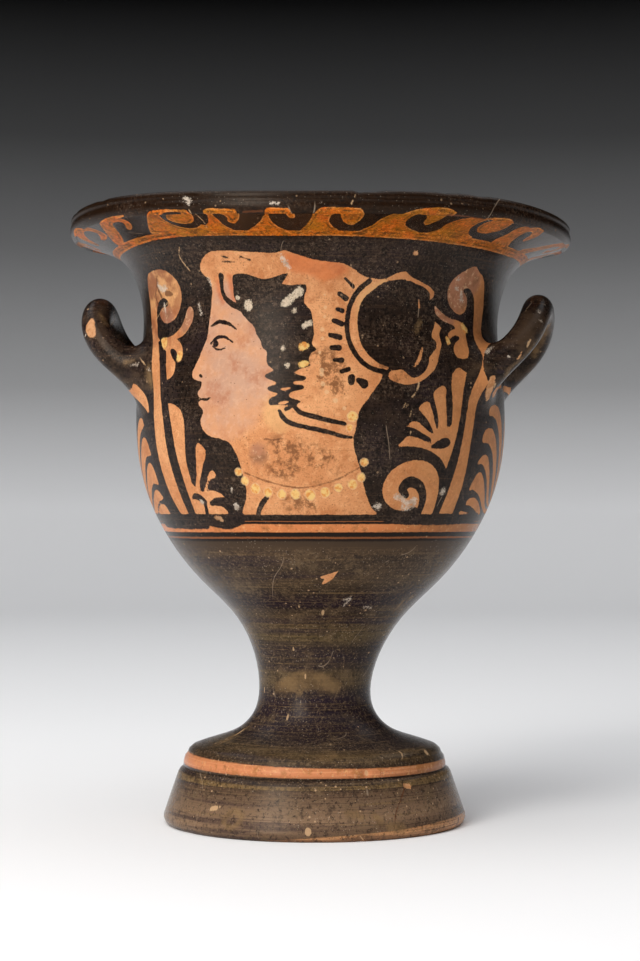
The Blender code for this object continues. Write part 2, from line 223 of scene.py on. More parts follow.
RIGHT_LEAF = (
    (76.7, 216.4), (78.6, 220.2), (82.7, 222.6), (86.9, 220.6, 0), (85.1, 212.7), (82.7, 201.8), (80.5, 192.7),
    (78.6, 185.5), (76.8, 180), (75.1, 174.4, 0), (71.5, 178.6), (66.4, 181.6), (61, 183.5), (55.5, 184.4),
    (50, 184.5), (45.7, 184.0, 0), (48.2, 186.8), (50.9, 189), (54.5, 189.1), (59.5, 187.4), (64.2, 186.2, 0),
    (63.5, 188.6), (60, 190.3), (55.4, 192.6), (50.4, 193.9, 0), (52.3, 195.6), (55.5, 196.2), (59, 194.1),
    (62.7, 191.5), (65.6, 190.4, 0), (63.5, 194.6), (60.4, 198.4), (56.5, 202, 0), (58.6, 204.5), (62.3, 205.6),
    (63.8, 202.7), (65.5, 197.3), (67.6, 190.6, 0), (67.9, 197.3), (66.6, 203.6), (65.4, 209.6), (68.2, 212.4),
    (71.8, 213.6), (73.1, 212), (72.7, 207.3), (73, 200), (73.2, 193.8, 0), (75.6, 194.4), (76.9, 201.8),
    (77, 210.9),
)
RIGHT_SCROLL = (
    (72.8, 153.2, 0), (72.9, 161.8), (70.9, 170.9), (65.5, 176.3), (57.3, 178.3), (49.1, 176.5), (42.7, 171.8),
    (40.2, 165.5), (41.3, 160.9), (44.5, 157.3), (49.1, 155.3), (54.5, 154.9), (60.2, 156.6), (65.4, 153.2, 0),
)
RIGHT_BLOSSOM = (
    (68.5, 251.6, 0), (73, 248.6), (78, 246.4), (83, 245.6), (87.2, 244.9), (90.2, 241.6), (90.6, 236),
    (90.1, 230.8), (88.4, 227.8), (84.0, 227.3), (81.1, 228.9), (80.4, 231.6), (82.2, 234.6), (85.3, 237),
    (84.3, 238.3), (80.5, 237.8), (78.2, 235.8, 0), (77.1, 238.2), (79.4, 240.4), (82.8, 241.4), (81.4, 242.9),
    (76.8, 243.8), (72.4, 245.4), (69.0, 248.2),
)
# Black strokes laid over the reserved clay of the front, and the face's own few lines.
FRONT_STROKES = (
    ((-39.1, 263.0, 1.5), (-39.6, 259.2, 1.0), (-39.3, 255.5, 1.0), (-37.7, 252.7, 1.2), (-34.5, 250.2, 1.4),
     (-30.2, 248.2, 1.5)),
    ((32.6, 260.8, 1.2), (27.6, 256.4, 1.2), (24.1, 250.6, 1.15), (22.4, 243.6, 1.15), (22.3, 236.4, 1.15),
     (24.1, 230.2, 1.2), (27.7, 224.6, 1.2), (32.9, 220.6, 1.2), (39.3, 218.9, 1.3)),
    ((-3.2, 203.8, 0.9), (-0.5, 200.2, 1.1), (6.8, 197.7, 1.15), (14.1, 195.9, 1.1), (20.6, 194.6, 0.9)),
    ((-9.2, 200.4, 0.8), (-7.4, 197.2, 1.1), (-4.1, 194.8, 1.15), (3.2, 192.9, 1.05), (12.3, 190.9, 1.1),
     (19.5, 188.9, 0.95), (23.6, 188.3, 0.7)),
    ((-16.9, 161.2, 1.0), (-20.0, 158.2, 1.35), (-22.1, 155.3, 1.25), (-23.4, 152.6, 1.1)),
    ((-46.4, 240.2, 0.5), (-42.2, 242.1, 0.95), (-36.6, 241.2, 0.85), (-31.9, 238.4, 0.3)),
    ((-46.0, 232.2, 0.4), (-43.0, 234.6, 0.8), (-38.6, 235.1, 0.75), (-33.4, 232.4, 0.35)),
    ((-44.8, 230.9, 0.35), (-41.4, 229.2, 0.5), (-37.2, 229.9, 0.3)),
    ((-43.1, 232.2, 1.5), (-42.9, 231.9, 1.5)),
    ((-51.2, 217.6, 0.75), (-50.0, 216.9, 0.5)),
    ((-49.4, 206.5, 0.5), (-46.6, 206.2, 0.65), (-44.3, 207.3, 0.3)),
    ((-62.2, 160.5, 0.5), (-60.0, 161.6, 1.4), (-56.5, 160.6, 1.7), (-53.5, 159.0, 1.2)),
    ((-54.4, 159.5, 1.0), (-54.2, 156.5, 1.2), (-55.0, 152.5, 1.2)),
    ((-49.8, 158.1, 1.2), (-45.4, 159.3, 1.6), (-39.0, 158.9, 2.0)),
    ((-73.2, 230.0, 1.2), (-71.0, 228.4, 1.9), (-68.6, 226.0, 1.7)),
    ((65.2, 184.6, 1.0), (69.0, 185.7, 2.0), (72.6, 186.6, 2.5), (74.4, 186.8, 1.7)),
    ((62.0, 151.0, 2.0), (63.9, 156.5, 1.9), (63.1, 162.6, 2.2), (59.2, 166.9, 2.4), (54.0, 168.0, 2.6),
     (50.8, 164.9, 2.2), (53.6, 161.9, 1.5)),
)
SAKKOS_DASHES = (
    ((21.1, 261.5, 0.6), (24.9, 258.0, 1.0)), ((18.5, 254.5, 1.1), (21.6, 252.5, 1.4)),
    ((17.6, 247.4, 1.0), (19.9, 246.8, 1.2)), ((15.9, 242.2, 1.1), (19.6, 240.8, 1.4)),
    ((14.1, 235.5, 1.1), (18.5, 234.5, 1.4)), ((14.8, 229.6, 1.2), (18.1, 229.6, 1.5)),
    ((16.1, 223.9, 0.9), (19.4, 223.9, 1.3)), ((19.3, 218.6, 1.0), (22.6, 219.8, 1.1)),
    ((23.9, 215.8, 1.7), (23.8, 213.9, 1.6)), ((27.2, 214.6, 1.4), (29.6, 213.1, 2.2)),
)
BEADS = (
    (-30.6, 172.7, 1.8), (-27.7, 168.6, 1.9), (-22.7, 165.0, 2.3), (-16.4, 163.2, 2.1), (-9.5, 162.3, 2.1),
    (-2.7, 162.3, 2.2), (4.5, 162.0, 2.4), (11.8, 163.2, 2.2), (18.2, 165.3, 1.8), (25.0, 166.8, 2.1),
    (29.0, 170.0, 1.9), (30.0, 177.0, 1.8), (24.2, 197.9, 2.3), (22.8, 192.8, 1.5),
)
SAKKOS_DOTS = (
    (11.5, 253.9, 0.6), (11.8, 248.3, 0.8), (11.5, 244.0, 0.7), (10.4, 238.1, 1.0), (10.4, 233.8, 0.8),
    (9.1, 227.4, 0.7), (10.1, 219.1, 1.1), (10.0, 217.3, 1.0), (10.6, 212.9, 1.1), (12.3, 209.0, 1.1),
    (16.3, 205.2, 1.2), (20.5, 201.7, 1.0),
)
WHITE_LEAVES = (
    ((-9.5, 250.2), (-7.7, 252), (-3, 255.6), (-0.6, 257.7), (1.4, 256.3), (0.9, 253.8), (-2.3, 252.2),
     (-5.5, 248.8), (-7.7, 248.2), (-9.4, 249)),
    ((-27.7, 251), (-25, 252.1), (-23.7, 250), (-23.7, 247.7), (-26, 246.7), (-27.8, 248.4)),
    ((-4.1, 246.3), (-2.4, 248), (-1.8, 246.6), (-3.2, 245.2)),
    ((0.5, 239.6), (3.2, 241.9), (5.5, 241.9), (5.7, 240.1), (3.2, 239.1), (1.8, 238.2)),
)
GOLD_DABS = (
    ((-0.9, 230.4), (1.4, 232.3), (4.6, 230.5), (3.2, 229), (0, 228.2)),
    ((-0.9, 221.8), (1.4, 223.6), (4.6, 222.3), (3.2, 221), (0, 220.4)),
    ((75.2, 237.0), (77.0, 237.2), (78.6, 233.6), (77.8, 232.0), (75.8, 234.0)),
    ((86.8, 244.3), (89.0, 244.4), (92.3, 241.2), (90.5, 239.6), (88.2, 241.2)),
    ((-84.4, 236), (-79.2, 236.4), (-78.2, 233.4), (-79.8, 231.2), (-81.8, 231.6), (-83.4, 234)),
    ((-67.6, 229), (-64.9, 229.4), (-64.2, 226.8), (-65.5, 224.8), (-68.2, 225)),
)
SMALL_PETALS = (
    ((-52.8, 163.4), (-49.8, 168.2), (-47.5, 172.2), (-45.4, 173.5), (-43.4, 172), (-44.3, 170.1), (-47, 169.4),
     (-49.4, 166.8), (-51, 163.2)),
    ((-57.8, 165), (-55.7, 171), (-54.5, 178.2), (-53.7, 184.5), (-52.6, 186.2), (-49.8, 185), (-48, 182.4),
     (-48.5, 179.6), (-50.3, 176.4), (-52.5, 171.8), (-54.8, 167.3), (-55.2, 164.8)),
)

# The lip's running wave: (run, width) from the neck's edge. The visible crests are drawn one by one.
LIP_CRESTS = (
    ((-85, 5.8, 0), (-79, 12), (-71, 20.2), (-66.3, 25.6), (-62.5, 27.1), (-45.4, 26.9, 0), (-43.6, 22),
     (-45, 16), (-48.2, 12), (-43.6, 9.5), (-38, 4.2), (-60, 3.2)),
    ((-48, 4.2), (-46.3, 8.5), (-41.6, 12.8), (-38.6, 19), (-37.2, 26.6), (-30, 27.3), (-22.9, 27, 0),
     (-23, 21), (-25.4, 15.4), (-29.3, 11.5), (-31, 13.4), (-29.9, 17.6), (-30.6, 21.3, 0), (-35, 21.6),
     (-35.2, 15), (-34.4, 9), (-31, 4.2)),
    ((-25, 3.8), (-19.4, 9.3), (-15, 15), (-11.8, 22), (-10.4, 27.1), (-5, 27.6), (-0.8, 27.2, 0), (0.7, 22.3),
     (0.3, 17.4), (-1.9, 17.8), (-2.8, 22.3, 0), (-9.4, 22.4), (-10.4, 15), (-8, 8), (-3, 3.8)),
    ((2, 3.8), (5.4, 10.5), (7.5, 16.4), (9, 23.5), (11.2, 27.2), (20, 27.9), (28.4, 27.3, 0), (29.9, 24),
     (29.4, 15), (26, 10.2), (22.5, 13), (20.5, 19), (20.2, 22.6, 0), (16.9, 21), (15.6, 15), (17, 9.5),
     (21, 3.8)),
    ((31, 3.8), (36, 10), (38.6, 16.5), (43, 22), (49, 26.3), (56, 28), (66, 28.3), (70.2, 26.7, 0),
     (67.6, 23), (66, 16.5), (62, 11.2), (60, 13.5), (59, 19), (56.2, 24, 0), (53, 21.5), (51, 16.5),
     (51.6, 11.5), (56, 7.3), (64, 3.6)),
    ((66, 3.6), (71.4, 8), (72.2, 13), (75, 18), (80, 21.6), (86, 24.9), (94, 26.4), (101.2, 26.2),
     (104.6, 22.5), (105.7, 17), (104.2, 11), (100, 7), (92, 3)),
    ((112.5, 2), (113.4, 12), (112.6, 19), (116, 24), (121.2, 25.9), (127, 25.1), (131.2, 22), (133.5, 18),
     (133.7, 13.5), (131.9, 11), (129.8, 13), (128, 17), (125, 19.6), (122.2, 19), (122, 15), (124.5, 9),
     (129, 2)),
)
LIP_GAPS = (
    ((-49.5, 24.9, 0.9), (-56.0, 24.6, 1.3), (-60.8, 21.5, 1.5), (-62.4, 16.6, 1.3), (-60.2, 11.7, 2.0),
     (-54.4, 9.7, 2.3), (-48.6, 11.8, 1.9), (-45.6, 17.0, 1.1), (-44.3, 23.0, 0.8)),
    ((91.8, 22.4, 1.2), (89.4, 18.4, 1.5), (89.0, 13.4, 1.7), (91.4, 9.0, 2.0), (96.2, 6.9, 2.1),
     (101.8, 8.0, 1.9), (105.4, 11.6, 1.5)),
)
LIP_HOOKS = (
    ((-150, 14, 2.5), (-145.5, 19.5, 3.2), (-138, 23.0, 3.1), (-129, 24.4, 2.6), (-121.6, 21.2, 2.6),
     (-121.0, 15.6, 2.5), (-126.8, 12.6, 1.7), (-131.6, 12.0, 0.9)),
    ((-125, 4.8, 3.0), (-115, 10.2, 4.0), (-107.4, 16.2, 3.9), (-101, 21.4, 3.2), (-93.4, 22.7, 2.8),
     (-88.2, 19.6, 2.1), (-90.6, 15.2, 1.8), (-94.6, 12.4, 1.2)),
    ((-98, 24.4, 1.3), (-90, 25.4, 1.0), (-81.5, 25.9, 0.5)),
)
LIP_STRIP = (
    (-152, 2.2, 2.2), (-130, 1.9, 2.1), (-110, 2.2, 2.1), (-88, 3.0, 1.9), (-68, 3.4, 1.8), (-40, 3.3, 1.9),
    (-10, 3.2, 1.8), (20, 3.2, 1.8), (38, 2.6, 2.0), (60, 2.2, 2.4), (85, 1.5, 2.6), (112, 1.3, 2.5),
    (140, 1.6, 2.6), (152, 2.0, 2.4),
)
WAVE_HOOK = (
    (-3.0, 4.6, 2.6), (5.0, 9.2, 3.4), (11.0, 16.6, 3.4), (17.0, 22.6, 3.0), (24.0, 23.4, 2.6),
    (28.0, 18.6, 2.3), (25.2, 13.6, 1.9), (21.2, 14.6, 1.1),
)
HIDDEN_WAVES, WAVE_PITCH = 13, 30.2

# The plainer back: half of an upright palmette over a pair of scrolls, from the back's middle line.
# A petal is (lean in degrees, length, half its width at the widest).
BACK_HEART = (0.0, 186.0)
BACK_PETALS = ((0, 70.0, 5.6), (24, 64.0, 5.2), (47, 55.0, 4.9), (71, 46.0, 4.6), (96, 38.0, 4.2))
BACK_SCROLL = (
    (0.0, 160.0, 2.6), (12.0, 158.4, 3.0), (26.0, 160.2, 3.4), (38.0, 167.0, 3.4), (42.0, 176.5, 3.0),
    (36.5, 184.0, 2.6), (28.0, 184.0, 2.2), (24.0, 177.5, 1.9), (28.0, 172.5, 1.6),
)


# Chips in the edges and flakes lost from the surface, each (turn in degrees, radius, height, reach, depth).
DENTS = (
    (15.3, 122.6, 296.4, 5.0, 0.9), (20.5, 123.0, 296.2, 2.6, 0.4), (26.6, 123.0, 296.2, 3.0, 0.5),
    (33.8, 123.0, 296.2, 2.6, 0.4), (42.5, 123.0, 296.2, 3.2, 0.5), (-51.0, 123.0, 296.2, 2.6, 0.4),
    (-66.5, 123.0, 296.2, 3.0, 0.5), (77.0, 123.0, 296.2, 2.6, 0.4), (130.0, 123.0, 296.0, 3.4, 0.6),
    (-155.0, 123.0, 296.2, 3.0, 0.5), (-22.5, 124.0, 293.2, 2.6, 0.6), (28.3, 65.3, 31.0, 2.6, 0.8),
    (67.4, 62.6, 37.0, 3.0, 0.7), (22.7, 74.6, 1.0, 2.6, 0.5), (6.3, 75.0, 2.0, 2.4, 0.4), (-48.0, 75.0, 1.4, 2.6, 0.5),
    (46.3, 68.4, 24.6, 3.0, 0.7), (-73.1, 117.0, 243.5, 6.0, 0.5), (67.8, 112.3, 234.5, 2.6, 0.4),
    (150.0, 75.0, 1.2, 3.0, 0.6),
)
# Wear, one stroke of (girth, height, half width) after another under the coat it shows as; a single row is a spot.
SMALL_STROKES = {
    "clay": (
        ((-8.6, 210.5, 0.3), (-6.7, 210.3, 0.75), (-4.4, 210.9, 0.3)),
        ((-9.5, 203.9, 0.3), (-7.6, 204.0, 0.8), (-5.3, 204.7, 0.3)),
        ((58.9, 253.6, 0.3), (59.3, 249.9, 0.6)),
        ((60.3, 231.2, 0.4), (59.2, 227.9, 0.8), (57.3, 224.3, 0.9), (55.0, 221.7, 0.4)),
    ),
    "black": (
        ((-36.5, 271.3, 0.35), (-33.6, 270.7, 0.3)), ((-27.5, 271.0, 0.3), (-22.8, 269.6, 0.4)),
        ((-37.1, 269.1, 0.25), (-30.7, 268.9, 0.3)), ((20.2, 70.6, 0.6),), ((-24.5, 14.4, 0.5),),
        ((-104, 149.8, 3.0), (-90, 149.6, 3.4), (-70, 149.4, 3.4), (-58.8, 149.2, 3.0)),
        ((-54.6, 149.6, 2.2), (-48, 149.2, 2.9), (-40, 149.4, 3.0), (-33.8, 150.6, 2.2)),
        ((43, 151.2, 1.5), (54, 150.6, 2.2), (74, 150.3, 2.3), (94, 150.6, 2.3), (118, 151.6, 2.2)),
    ),
    "wash": (
        ((-41.4, 261.5, 1.0), (-41.0, 256.0, 1.5), (-39.4, 251.2, 0.8)),
        ((-34.6, 262.6, 1.2), (-34.2, 256.4, 1.4), (-32.8, 251.6, 0.7)),
    ),
    "brown": (
        ((-82.9, 267.1, 0.4), (-85.6, 263.4, 0.6), (-86.1, 259.7, 0.7), (-83.9, 256.0, 0.9)),
        ((-78.7, 257.4, 1.6), (-73.5, 256.8, 0.8)), ((-86.5, 262.2, 0.3), (-90.5, 256.4, 0.5), (-88.4, 252.6, 0.4)),
        ((-27.4, 172.3, 0.35), (-17.4, 168.6, 0.3), (-3.8, 165.5, 0.35), (3.0, 165.5, 0.3), (16.9, 168.9, 0.35),
         (27.7, 174.4, 0.3)),
        ((70.6, 22.8, 0.35), (65.5, 17.4, 0.3), (61.0, 12.8, 0.3), (57.5, 5.5, 0.2)),
        ((-16.9, 187.8, 0.3), (-12.5, 187.2, 0.5), (-9.2, 187.6, 0.3)),
    ),
    "pale": (
        ((57.3, 214.3, 0.5), (56.1, 210.9, 0.35), (53.3, 207.6, 0.4)), ((48.7, 202.7, 0.2), (49.7, 204.6, 0.3)),
        ((49.9, 202.1, 0.2), (51.1, 204.1, 0.3)), ((52.8, 200.9, 0.35), (52.1, 198.4, 0.25)),
        ((52.0, 189.1, 0.2), (52.6, 191.4, 0.3)), ((-58.6, 275.9, 0.25), (-61.0, 272.2, 0.3), (-57.0, 265.9, 0.2)),
        ((-78.5, 252.8, 0.3), (-84.0, 250.3, 0.3), (-90.9, 246.7, 0.35), (-99.0, 242.6, 0.3)),
        ((12.4, 105.8, 1.5),), ((-10.0, 108.9, 0.8),), ((-23.6, 87.8, 1.1),), ((-6.3, 73.9, 1.4),),
        ((-91.4, 66.3, 1.5),),
        ((-30.6, 54.1, 1.5),), ((45.2, 31.0, 1.5),), ((109.0, 37.2, 1.3),), ((80.0, 38.9, 0.4), (76.2, 36.1, 0.3)),
        ((6.2, 5.3, 1.9),), ((-58.4, 13.0, 1.0), (-54.0, 13.9, 1.1)), ((36.1, 2.6, 0.4), (38.0, 0.8, 0.3)),
        ((-100.7, 46.6, 0.8), (-97.0, 44.8, 0.7)),
    ),
    "worn": (
        ((-27.5, 68.7, 0.6), (-18.6, 70.6, 0.8), (-8.3, 68.1, 0.8), (-17.1, 66.0, 0.8), (-27.5, 68.7, 0.6)),
        ((-92.1, 223.5, 1.0), (-90.7, 218.6, 1.9), (-89.4, 214.0, 1.0)), ((96.0, 107.0, 1.6), (96.0, 110.0, 2.0)),
        ((103.0, 112.4, 1.4), (112.0, 112.7, 1.0)), ((-88.0, 41.5, 1.4), (-99.0, 44.3, 1.8), (-96.0, 48.0, 1.4)),
        ((12.3, 37.9, 0.8), (25.7, 39.0, 1.0)), ((29.0, 13.1, 1.4), (34.3, 12.9, 2.0), (38.3, 11.5, 1.4)),
        ((45.5, 12.0, 1.2), (49.2, 8.9, 2.2)), ((54.5, 6.3, 2.2), (62.9, 5.3, 2.4)),
        ((-46.8, 7.8, 1.2), (-44.7, 11.2, 1.3), (-39.2, 13.1, 1.4), (-34.3, 10.1, 1.3), (-41.1, 5.7, 1.2),
         (-46.8, 7.8, 1.2)),
        ((60.3, 244.0, 0.9), (57.0, 238.5, 0.7)), ((-60.0, 68.0, 2.0), (-32.0, 70.2, 4.2), (-4.7, 72.5, 4.6),
         (30.0, 70.2, 4.2), (50.0, 69.2, 3.0)),
    ),
    "chips": (
        ((53.2, 273.3, 1.1),), ((71.8, 24.4, 1.0), (75.6, 23.8, 1.3)), ((-49.4, 151.4, 1.0), (-46.0, 150.8, 1.2)),
    ),
    "chalk": (
        ((-7.8, 270.9, 0.8), (-6.6, 268.5, 1.1), (-4.9, 265.7, 0.6)), ((-85.2, 261.7, 0.9), (-81.8, 259.3, 1.3),
         (-77.5, 260.5, 0.9)), ((-81.8, 252.3, 0.6), (-81.2, 248.7, 0.8)), ((47.7, 161.1, 1.3), (50.6, 161.0, 1.0),
         (54.3, 158.3, 1.2), (59.0, 159.6, 1.2), (58.9, 156.9, 0.9), (52.8, 155.6, 0.9)), ((75.8, 163.7, 1.5),),
        ((39.2, 157.0, 1.5), (37.0, 156.6, 0.8)), ((-56.1, 158.8, 1.2),), ((-34.6, 156.6, 1.5),),
        ((-35.5, 164.3, 1.1),),
        ((29.0, 112.3, 0.3), (35.4, 112.6, 0.6), (31.0, 109.5, 0.2)), ((51.0, 108.8, 0.2), (60.0, 108.0, 0.5)),
        ((81.5, 260.5, 0.8), (83.0, 259.8, 0.5)), ((81.9, 264.7, 0.7),),
        ((86.0, 258.4, 1.0), (86.6, 255.6, 1.4)), ((-46.6, 262.6, 0.5), (-45.4, 258.8, 0.4)),
        ((-54.3, 250.8, 0.5), (-52.8, 246.1, 0.4)),
    ),
}
BLACK_FLAKE = (
    (9.3, 123.6), (13.5, 124.6), (18.0, 125.6), (21.2, 126.4, 0), (19.6, 124.4), (18.3, 122.7), (15.0, 121.2),
    (11.6, 119.9, 0), (10.1, 120.1, 0), (11.6, 121.6), (12.3, 122.6), (10.0, 123.0),
)
# The pale wash over the face, whose lighter patches are partly a painted sheen, is a plain oval: the girth and height
# of its middle, half its width, half its height.
FACE_WASH = (-36.0, 224.0, 24.0, 37.0)
# Broad soft changes of the clay's colour, as closed outlines. The pale patch at the front of the neck is partly wear
# and partly a painted highlight.
SOFT_PATCHES = {
    "skin": (
        tuple(
            (FACE_WASH[0] + FACE_WASH[2] * math.cos(turn), FACE_WASH[1] + FACE_WASH[3] * math.sin(turn))
            for turn in (math.tau * step / 16 for step in range(16))
        ),
    ),
    "bleach": (
        ((-98.0, 252.0), (-96.0, 262.0), (-88.0, 269.0), (-76.0, 268.0), (-67.0, 260.0), (-67.0, 252.0),
         (-76.0, 250.0), (-88.0, 254.0)),
        ((-18.0, 207.0), (-10.4, 204.5), (-3.9, 197.1), (-7.6, 190.6), (-15.0, 193.5)),
        ((-85.0, 238.0), (-79.0, 238.0), (-78.0, 231.0), (-83.0, 231.0)),
        ((28.0, 255.0), (42.0, 262.0), (40.0, 257.0), (32.0, 250.0), (29.0, 238.0), (27.0, 246.0)),
    ),
    "tarnish": (
        ((76.0, 266.0), (84.0, 271.0), (95.0, 270.0), (100.0, 264.0), (96.0, 258.0), (88.0, 250.0), (78.0, 250.0),
         (74.0, 258.0)),
        ((66.0, 254.0), (74.0, 252.0), (82.0, 247.0), (80.0, 242.0), (70.0, 244.0)),
        ((-66.0, 252.0), (-57.0, 251.0), (-58.0, 243.0), (-65.0, 238.0), (-68.0, 242.0)),
        ((-22.9, 184.9), (-17.3, 185.1), (-15.4, 180.0), (-17.8, 175.9), (-22.7, 176.7)),
        ((-84.0, 250.0), (-76.0, 250.0), (-74.0, 243.0), (-82.0, 243.0)),
    ),
    "stain": (
        ((-13.9, 187.5), (-0.3, 188.2), (1.9, 180.0), (0.3, 172.1), (-7.0, 168.8), (-15.1, 172.3), (-16.5, 180.1)),
        ((0.6, 184.6), (12.1, 183.4), (19.1, 177.7), (14.5, 168.9), (4.1, 168.8)),
        ((-9.0, 161.2), (5.9, 161.6), (8.8, 154.3), (-5.7, 153.4)),
        ((5.1, 227.4), (16.7, 228.6), (21.3, 221.6), (23.5, 209.2), (14.3, 207.4), (6.1, 215.6)),
        ((33.0, 224.0), (44.0, 222.0), (52.0, 217.0), (46.0, 213.0), (36.0, 217.0)),
    ),
}
# Wear on the handles and their roots: rows of x, y, height and half width.
HANDLE_STROKES = {
    "chips": (
        ((-109.5, -34, 248.5, 1.6), (-110.5, -35.5, 243.5, 3.2), (-108, -37.5, 240.0, 2.0)),
        ((101, -44, 231, 0.3), (99, -43.5, 228, 0.5)),
        ((87, -46, 218, 1.6), (86, -44, 213, 2.4), (85, -41, 209, 1.8)),
    ),
    "pale": (
        ((105, -42.5, 237, 0.7), (104, -42.5, 235, 0.8), (104, -43, 233, 0.5)), ((-113, -25, 253, 0.6),),
        ((-83, -45, 228, 0.2), (-78, -50, 222, 0.5)), ((88, -43, 216, 0.6), (88, -41, 212, 0.5)),
    ),
    "worn": (
        ((-105, -3, 249, 3.0), (-103, -9, 252, 2.5)), ((-106, -29, 250, 0.8), (-102, -32, 245, 1.4)),
        ((113, -22, 248, 1.2), (111, -33, 242, 0.7), (108, -37, 238, 0.6), (105, -40, 234, 0.6), (102, -42, 229, 0.7),
         (97, -43, 225, 0.7), (94, -43, 222, 1.1), (93, -38, 219, 1.4)),
        ((113, 1, 248, 1.6), (110, 9, 242, 1.8), (106, 16, 234, 1.4)), ((91, 12, 216, 1.6),),
        ((-90, -44, 226, 0.8), (-86, -45, 227, 0.6)),
    ),
    "chalk": (
        ((109, -33.5, 252, 0.9),), ((110, -36, 247, 0.6),), ((112, -26, 256, 0.6),), ((95, -46.5, 229, 0.5),),
        ((87, -44, 234, 0.6), (84, -46, 231, 0.9)), ((-113, -34, 239.5, 0.9),), ((-78, -50, 222, 0.8),),
        ((-88, -44, 224, 0.3), (-84, -46, 225, 0.3)),
    ),
    "black": (((88, -41.5, 214, 1.0),), ((-105, -39, 238, 0.5), (-98, -41.5, 234, 0.7), (-92, -42, 232, 0.4))),
}
LIP_STROKES = {
    "pale": (
        ((-44.1, 27.0, 0.2), (-43.2, 21.0, 0.25), (-43.8, 12.6, 0.3), (-45.6, 7.0, 0.15)),
        ((25.7, 33.5, 0.3), (24.1, 29.4, 0.25)),
    ),
    "chalk": (((-44.2, 30.4, 1.2), (-46.0, 32.6, 0.6)), ((-8.0, 29.6, 0.4), (-5.0, 29.5, 0.3)), ((12.0, 30.4, 0.4),)),
    "brown": (((-20.0, 25.5, 0.5), (-12.0, 26.0, 0.6)), ((60.0, 24.0, 0.5), (70.0, 25.0, 0.5), (84.0, 24.4, 0.4))),
}


class KraterSizes(bpy.types.PropertyGroup):
    """The sizes a maker would change without touching the section."""

    wall: FloatProperty(
        name="Wall", description="Thickness of the bowl's wall", default=0.0055, min=0.003, max=0.008,
        subtype="DISTANCE", unit="LENGTH",
    )
    rod: FloatProperty(
        name="Handle rod", description="Radius of the handles' rod", default=0.0072, min=0.004, max=0.010,
        subtype="DISTANCE", unit="LENGTH",
    )
    fillet: FloatProperty(
        name="Root fillet", description="How far the clay is smoothed over at the handles' roots",
        default=0.011, min=0.002, max=0.016, subtype="DISTANCE", unit="LENGTH",
    )
    foot_shift: FloatProperty(
        name="Foot shift", description="How far the foot stands aside of the mouth", default=-0.003,
        min=-0.006, max=0.006, subtype="DISTANCE", unit="LENGTH",
    )
    rim_tilt: FloatProperty(
        name="Rim tilt", description="Drop of the rim for each unit of width", default=0.0150, min=0.0, max=0.04,
    )
    rim_wave: FloatProperty(
        name="Rim wave", description="Half the rim's rise and fall round the mouth", default=0.00115,
        min=0.0, max=0.003, subtype="DISTANCE", unit="LENGTH",
    )
    turns: IntProperty(
        name="Turns", description="Flat faces round the pot before the drawing is refined", default=128, min=64,
        max=192,
    )


class KraterColours(bpy.types.PropertyGroup):
    """The fired colours."""

    clay: FloatVectorProperty(
        name="Reserved clay", description="Clay left bare in the drawing", default=(0.562, 0.230, 0.090, 1.0),
        size=4, min=0.0, max=1.0, subtype="COLOR",
    )
    slip: FloatVectorProperty(
        name="Black slip", description="Glossy slip of the ground", default=(0.0150, 0.0088, 0.0062, 1.0),
        size=4, min=0.0, max=1.0, subtype="COLOR",
    )
    white: FloatVectorProperty(
        name="Added white", description="White laid over the slip", default=(0.62, 0.50, 0.36, 1.0),
        size=4, min=0.0, max=1.0, subtype="COLOR",
    )
    gold: FloatVectorProperty(
        name="Dilute yellow", description="Yellow laid over the white", default=(0.72, 0.47, 0.16, 1.0),
        size=4, min=0.0, max=1.0, subtype="COLOR",
    )
    skin: FloatVectorProperty(
        name="Pale skin", description="Pale wash over the face", default=(0.47, 0.28, 0.195, 1.0),
        size=4, min=0.0, max=1.0, subtype="COLOR",
    )


# ------------------------------------------------------------------------------------------- curves


def spline(stations, per_span=24):
    """A natural cubic spline through the stations, as an array of closely spaced points."""
    knots = np.array(stations, float)
    t = np.concatenate([[0.0], np.cumsum(np.linalg.norm(np.diff(knots, axis=0), axis=1))])
    count, width = len(t), np.diff(t)
    system, right = np.eye(count), np.zeros_like(knots)
    for i in range(1, count - 1):
        system[i, i - 1 : i + 2] = width[i - 1], 2 * (width[i - 1] + width[i]), width[i]
        slope_after = (knots[i + 1] - knots[i]) / width[i]
        slope_before = (knots[i] - knots[i - 1]) / width[i - 1]
        right[i] = 6 * (slope_after - slope_before)
    bend = np.linalg.solve(system, right)
    points = []
    for i in range(count - 1):
        for f in np.linspace(0, 1, per_span, endpoint=False):
            a, b = 1 - f, f
            cubic = (a**3 - a) * bend[i] + (b**3 - b) * bend[i + 1]
            points.append(a * knots[i] + b * knots[i + 1] + cubic * width[i] ** 2 / 6)
    points.append(knots[-1])
    return np.array(points)


def arc(centre, radius, start, end, steps=12):
    """Points on a circle from one angle to another, in degrees, counted from outwards to upwards."""
    angles = np.radians(np.linspace(start, end, steps))
    return np.column_stack([centre[0] + radius * np.cos(angles), centre[1] + radius * np.sin(angles)])


def offset(curve, distance):
    """The curve moved sideways, to the right of the way it runs, by an even distance."""
    along = np.gradient(curve, axis=0)
    along /= np.linalg.norm(along, axis=1)[:, None]
    return curve + distance * np.column_stack([along[:, 1], -along[:, 0]])


def thinned(curve, turn_per_step, longest_step):
    """The points of a close curve that are enough to follow its bends."""
    kept, turned = [curve[0]], 0.0
    for before, here, after in zip(curve, curve[1:], curve[2:]):
        first, second = here - before, after - here
        turned += abs(math.atan2(first[0] * second[1] - first[1] * second[0], first @ second))
        if turned >= turn_per_step or np.linalg.norm(here - kept[-1]) >= longest_step:
            kept.append(here)
            turned = 0.0
    kept.append(curve[-1])
    return np.array(kept)


